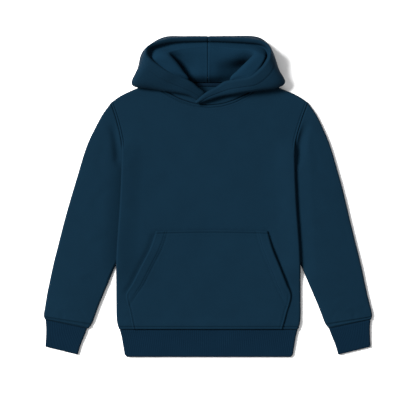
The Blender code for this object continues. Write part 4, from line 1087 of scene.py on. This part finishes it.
body = front, front_normals
lay_across(body, np.arange(8, front.shape[1] - 8), lambda line: HEM_SEAM_Y + HEM_STITCHES)
at_neck = np.flatnonzero(np.abs(front[-1, :, 0]) < NECK_X - 5)
lay_across(body, at_neck, lambda line: line[-1, 1] - NECK_STITCHES)
for side in SIDES:
    lay_along(body, 72, 147, lambda y, s=side: s * (half_width(y) - ARMHOLE_STITCHES) + lean(y, "body"))

for column, side in (("right_x", 1), ("left_x", -1)):
    for row in POCKET_HEM_ROWS:
        lay_on_pocket(CORNER_Y + 6, TOP_Y - 6, column, side * (row / SLANT))
    lay_on_pocket(BOTTOM_Y + 5, CORNER_Y - 4, column, side * SIDE_STITCHES)
inner_columns = np.arange(6, pocket.shape[1] - 6)
lay_across((pocket, pocket_normals), inner_columns, lambda line: line[-1, 1] - TOP_STITCHES)

for rings, normals in sleeves.values():
    from_seam = norm(rings[:, 0, :2] - rings[-1, 0, :2], axis=1)
    row = np.interp(-HEM_STITCHES, -from_seam, np.arange(len(rings)))
    stitch_line((rings, normals), row, np.linspace(10, 8 + SLEEVE_TOP, 90))

for side in SIDES:
    half = len(hood["outer", side][0])
    stitch_line(hood["outer", side], np.linspace(0, half - 2, 3 * half), HEM_LINE)

for column in (2, 12):
    tape_rows = np.linspace(0, len(tape) - 1.01, 2 * len(tape))
    stitch_line((tape, -grid_normals(tape)), tape_rows, column, pitch=2.6, length=2.1)

mesh_piece("stitching", None, "fleece", join(stitch_points), stitch_faces, finish="thread")

# --- floor, light and camera ---

FLOOR_REACH, FLOOR_Z = 6, -0.0003
floor_mesh = bpy.data.meshes.new("floor")
corners = [(x * FLOOR_REACH, y * FLOOR_REACH, FLOOR_Z) for x, y in ((-1, -1), (1, -1), (1, 1), (-1, 1))]
floor_mesh.from_pydata(corners, [], [(0, 1, 2, 3)])
floor = linked("floor", floor_mesh)
floor_finish = bpy.data.materials.new("pale_floor")
floor_finish.use_nodes = True
floor_shader = floor_finish.node_tree.nodes["Principled BSDF"]
floor_shader.inputs["Base Color"].default_value = (0.92, 0.92, 0.92, 1.0)
floor_shader.inputs["Roughness"].default_value = 0.9
floor_mesh.materials.append(floor_finish)

world = bpy.data.worlds.new("studio")
world.use_nodes = True
world.node_tree.nodes["Background"].inputs["Color"].default_value = (1.0, 1.0, 1.0, 1.0)
world.node_tree.nodes["Background"].inputs["Strength"].default_value = 0.62
scene.world = world

key = bpy.data.lights.new("key", "AREA")
key.shape, key.size, key.energy = "SQUARE", 3.4, 2450
key_light = linked("key", key)
key_light.location = (-6.0, 2.6, 7.0)
key_light.rotation_mode = "QUATERNION"
key_light.rotation_quaternion = (-key_light.location).to_track_quat("-Z", "Y")

LENS, SENSOR = 200, 36
SEEN, SEEN_Z = 0.6656, 0.010  # the width that is seen at this height, in metres
camera_data = bpy.data.cameras.new("camera")
camera_data.lens = LENS
camera_data.sensor_width = SENSOR
camera_data.clip_start, camera_data.clip_end = 0.05, 30
camera = linked("camera", camera_data)
camera.location = (0.0, -(MIDDLE_Y + 17.6) * MM, LENS / SENSOR * SEEN + SEEN_Z)
scene.camera = camera
scene.view_settings.view_transform = "Standard"
scene.view_settings.look = "None"

# --- the cloth pieces' cuts: a table that nothing in this script reads ---

CUTS = table(
    "pieces width length area rests_on held",
    ("front_cloth", 0.330, 0.400, 0.112, "back_cloth", "laid"),
    ("back_cloth", 0.330, 0.405, 0.115, "floor", "laid"),
    ("sleeve_cloth_left sleeve_cloth_right", 0.200, 0.370, 0.055, "floor", "folded"),
    ("cuff_cloth_left cuff_cloth_right", 0.140, 0.045, 0.0055, "floor", "folded"),
    ("hem_cloth", 0.575, 0.046, 0.0255, "floor", "folded"),
    ("pocket_cloth", 0.270, 0.160, 0.036, "front_cloth", "laid"),
    ("hood_outer_cloth_left hood_outer_cloth_right", 0.300, 0.130, 0.020, "front_cloth", "folded"),
    ("hood_lining_cloth_left hood_lining_cloth_right", 0.240, 0.110, 0.0125, "back_cloth", "folded"),
    ("tape_cloth", 0.120, 0.010, 0.0009, "back_cloth", "laid"),
)

bpy.context.view_layer.update()
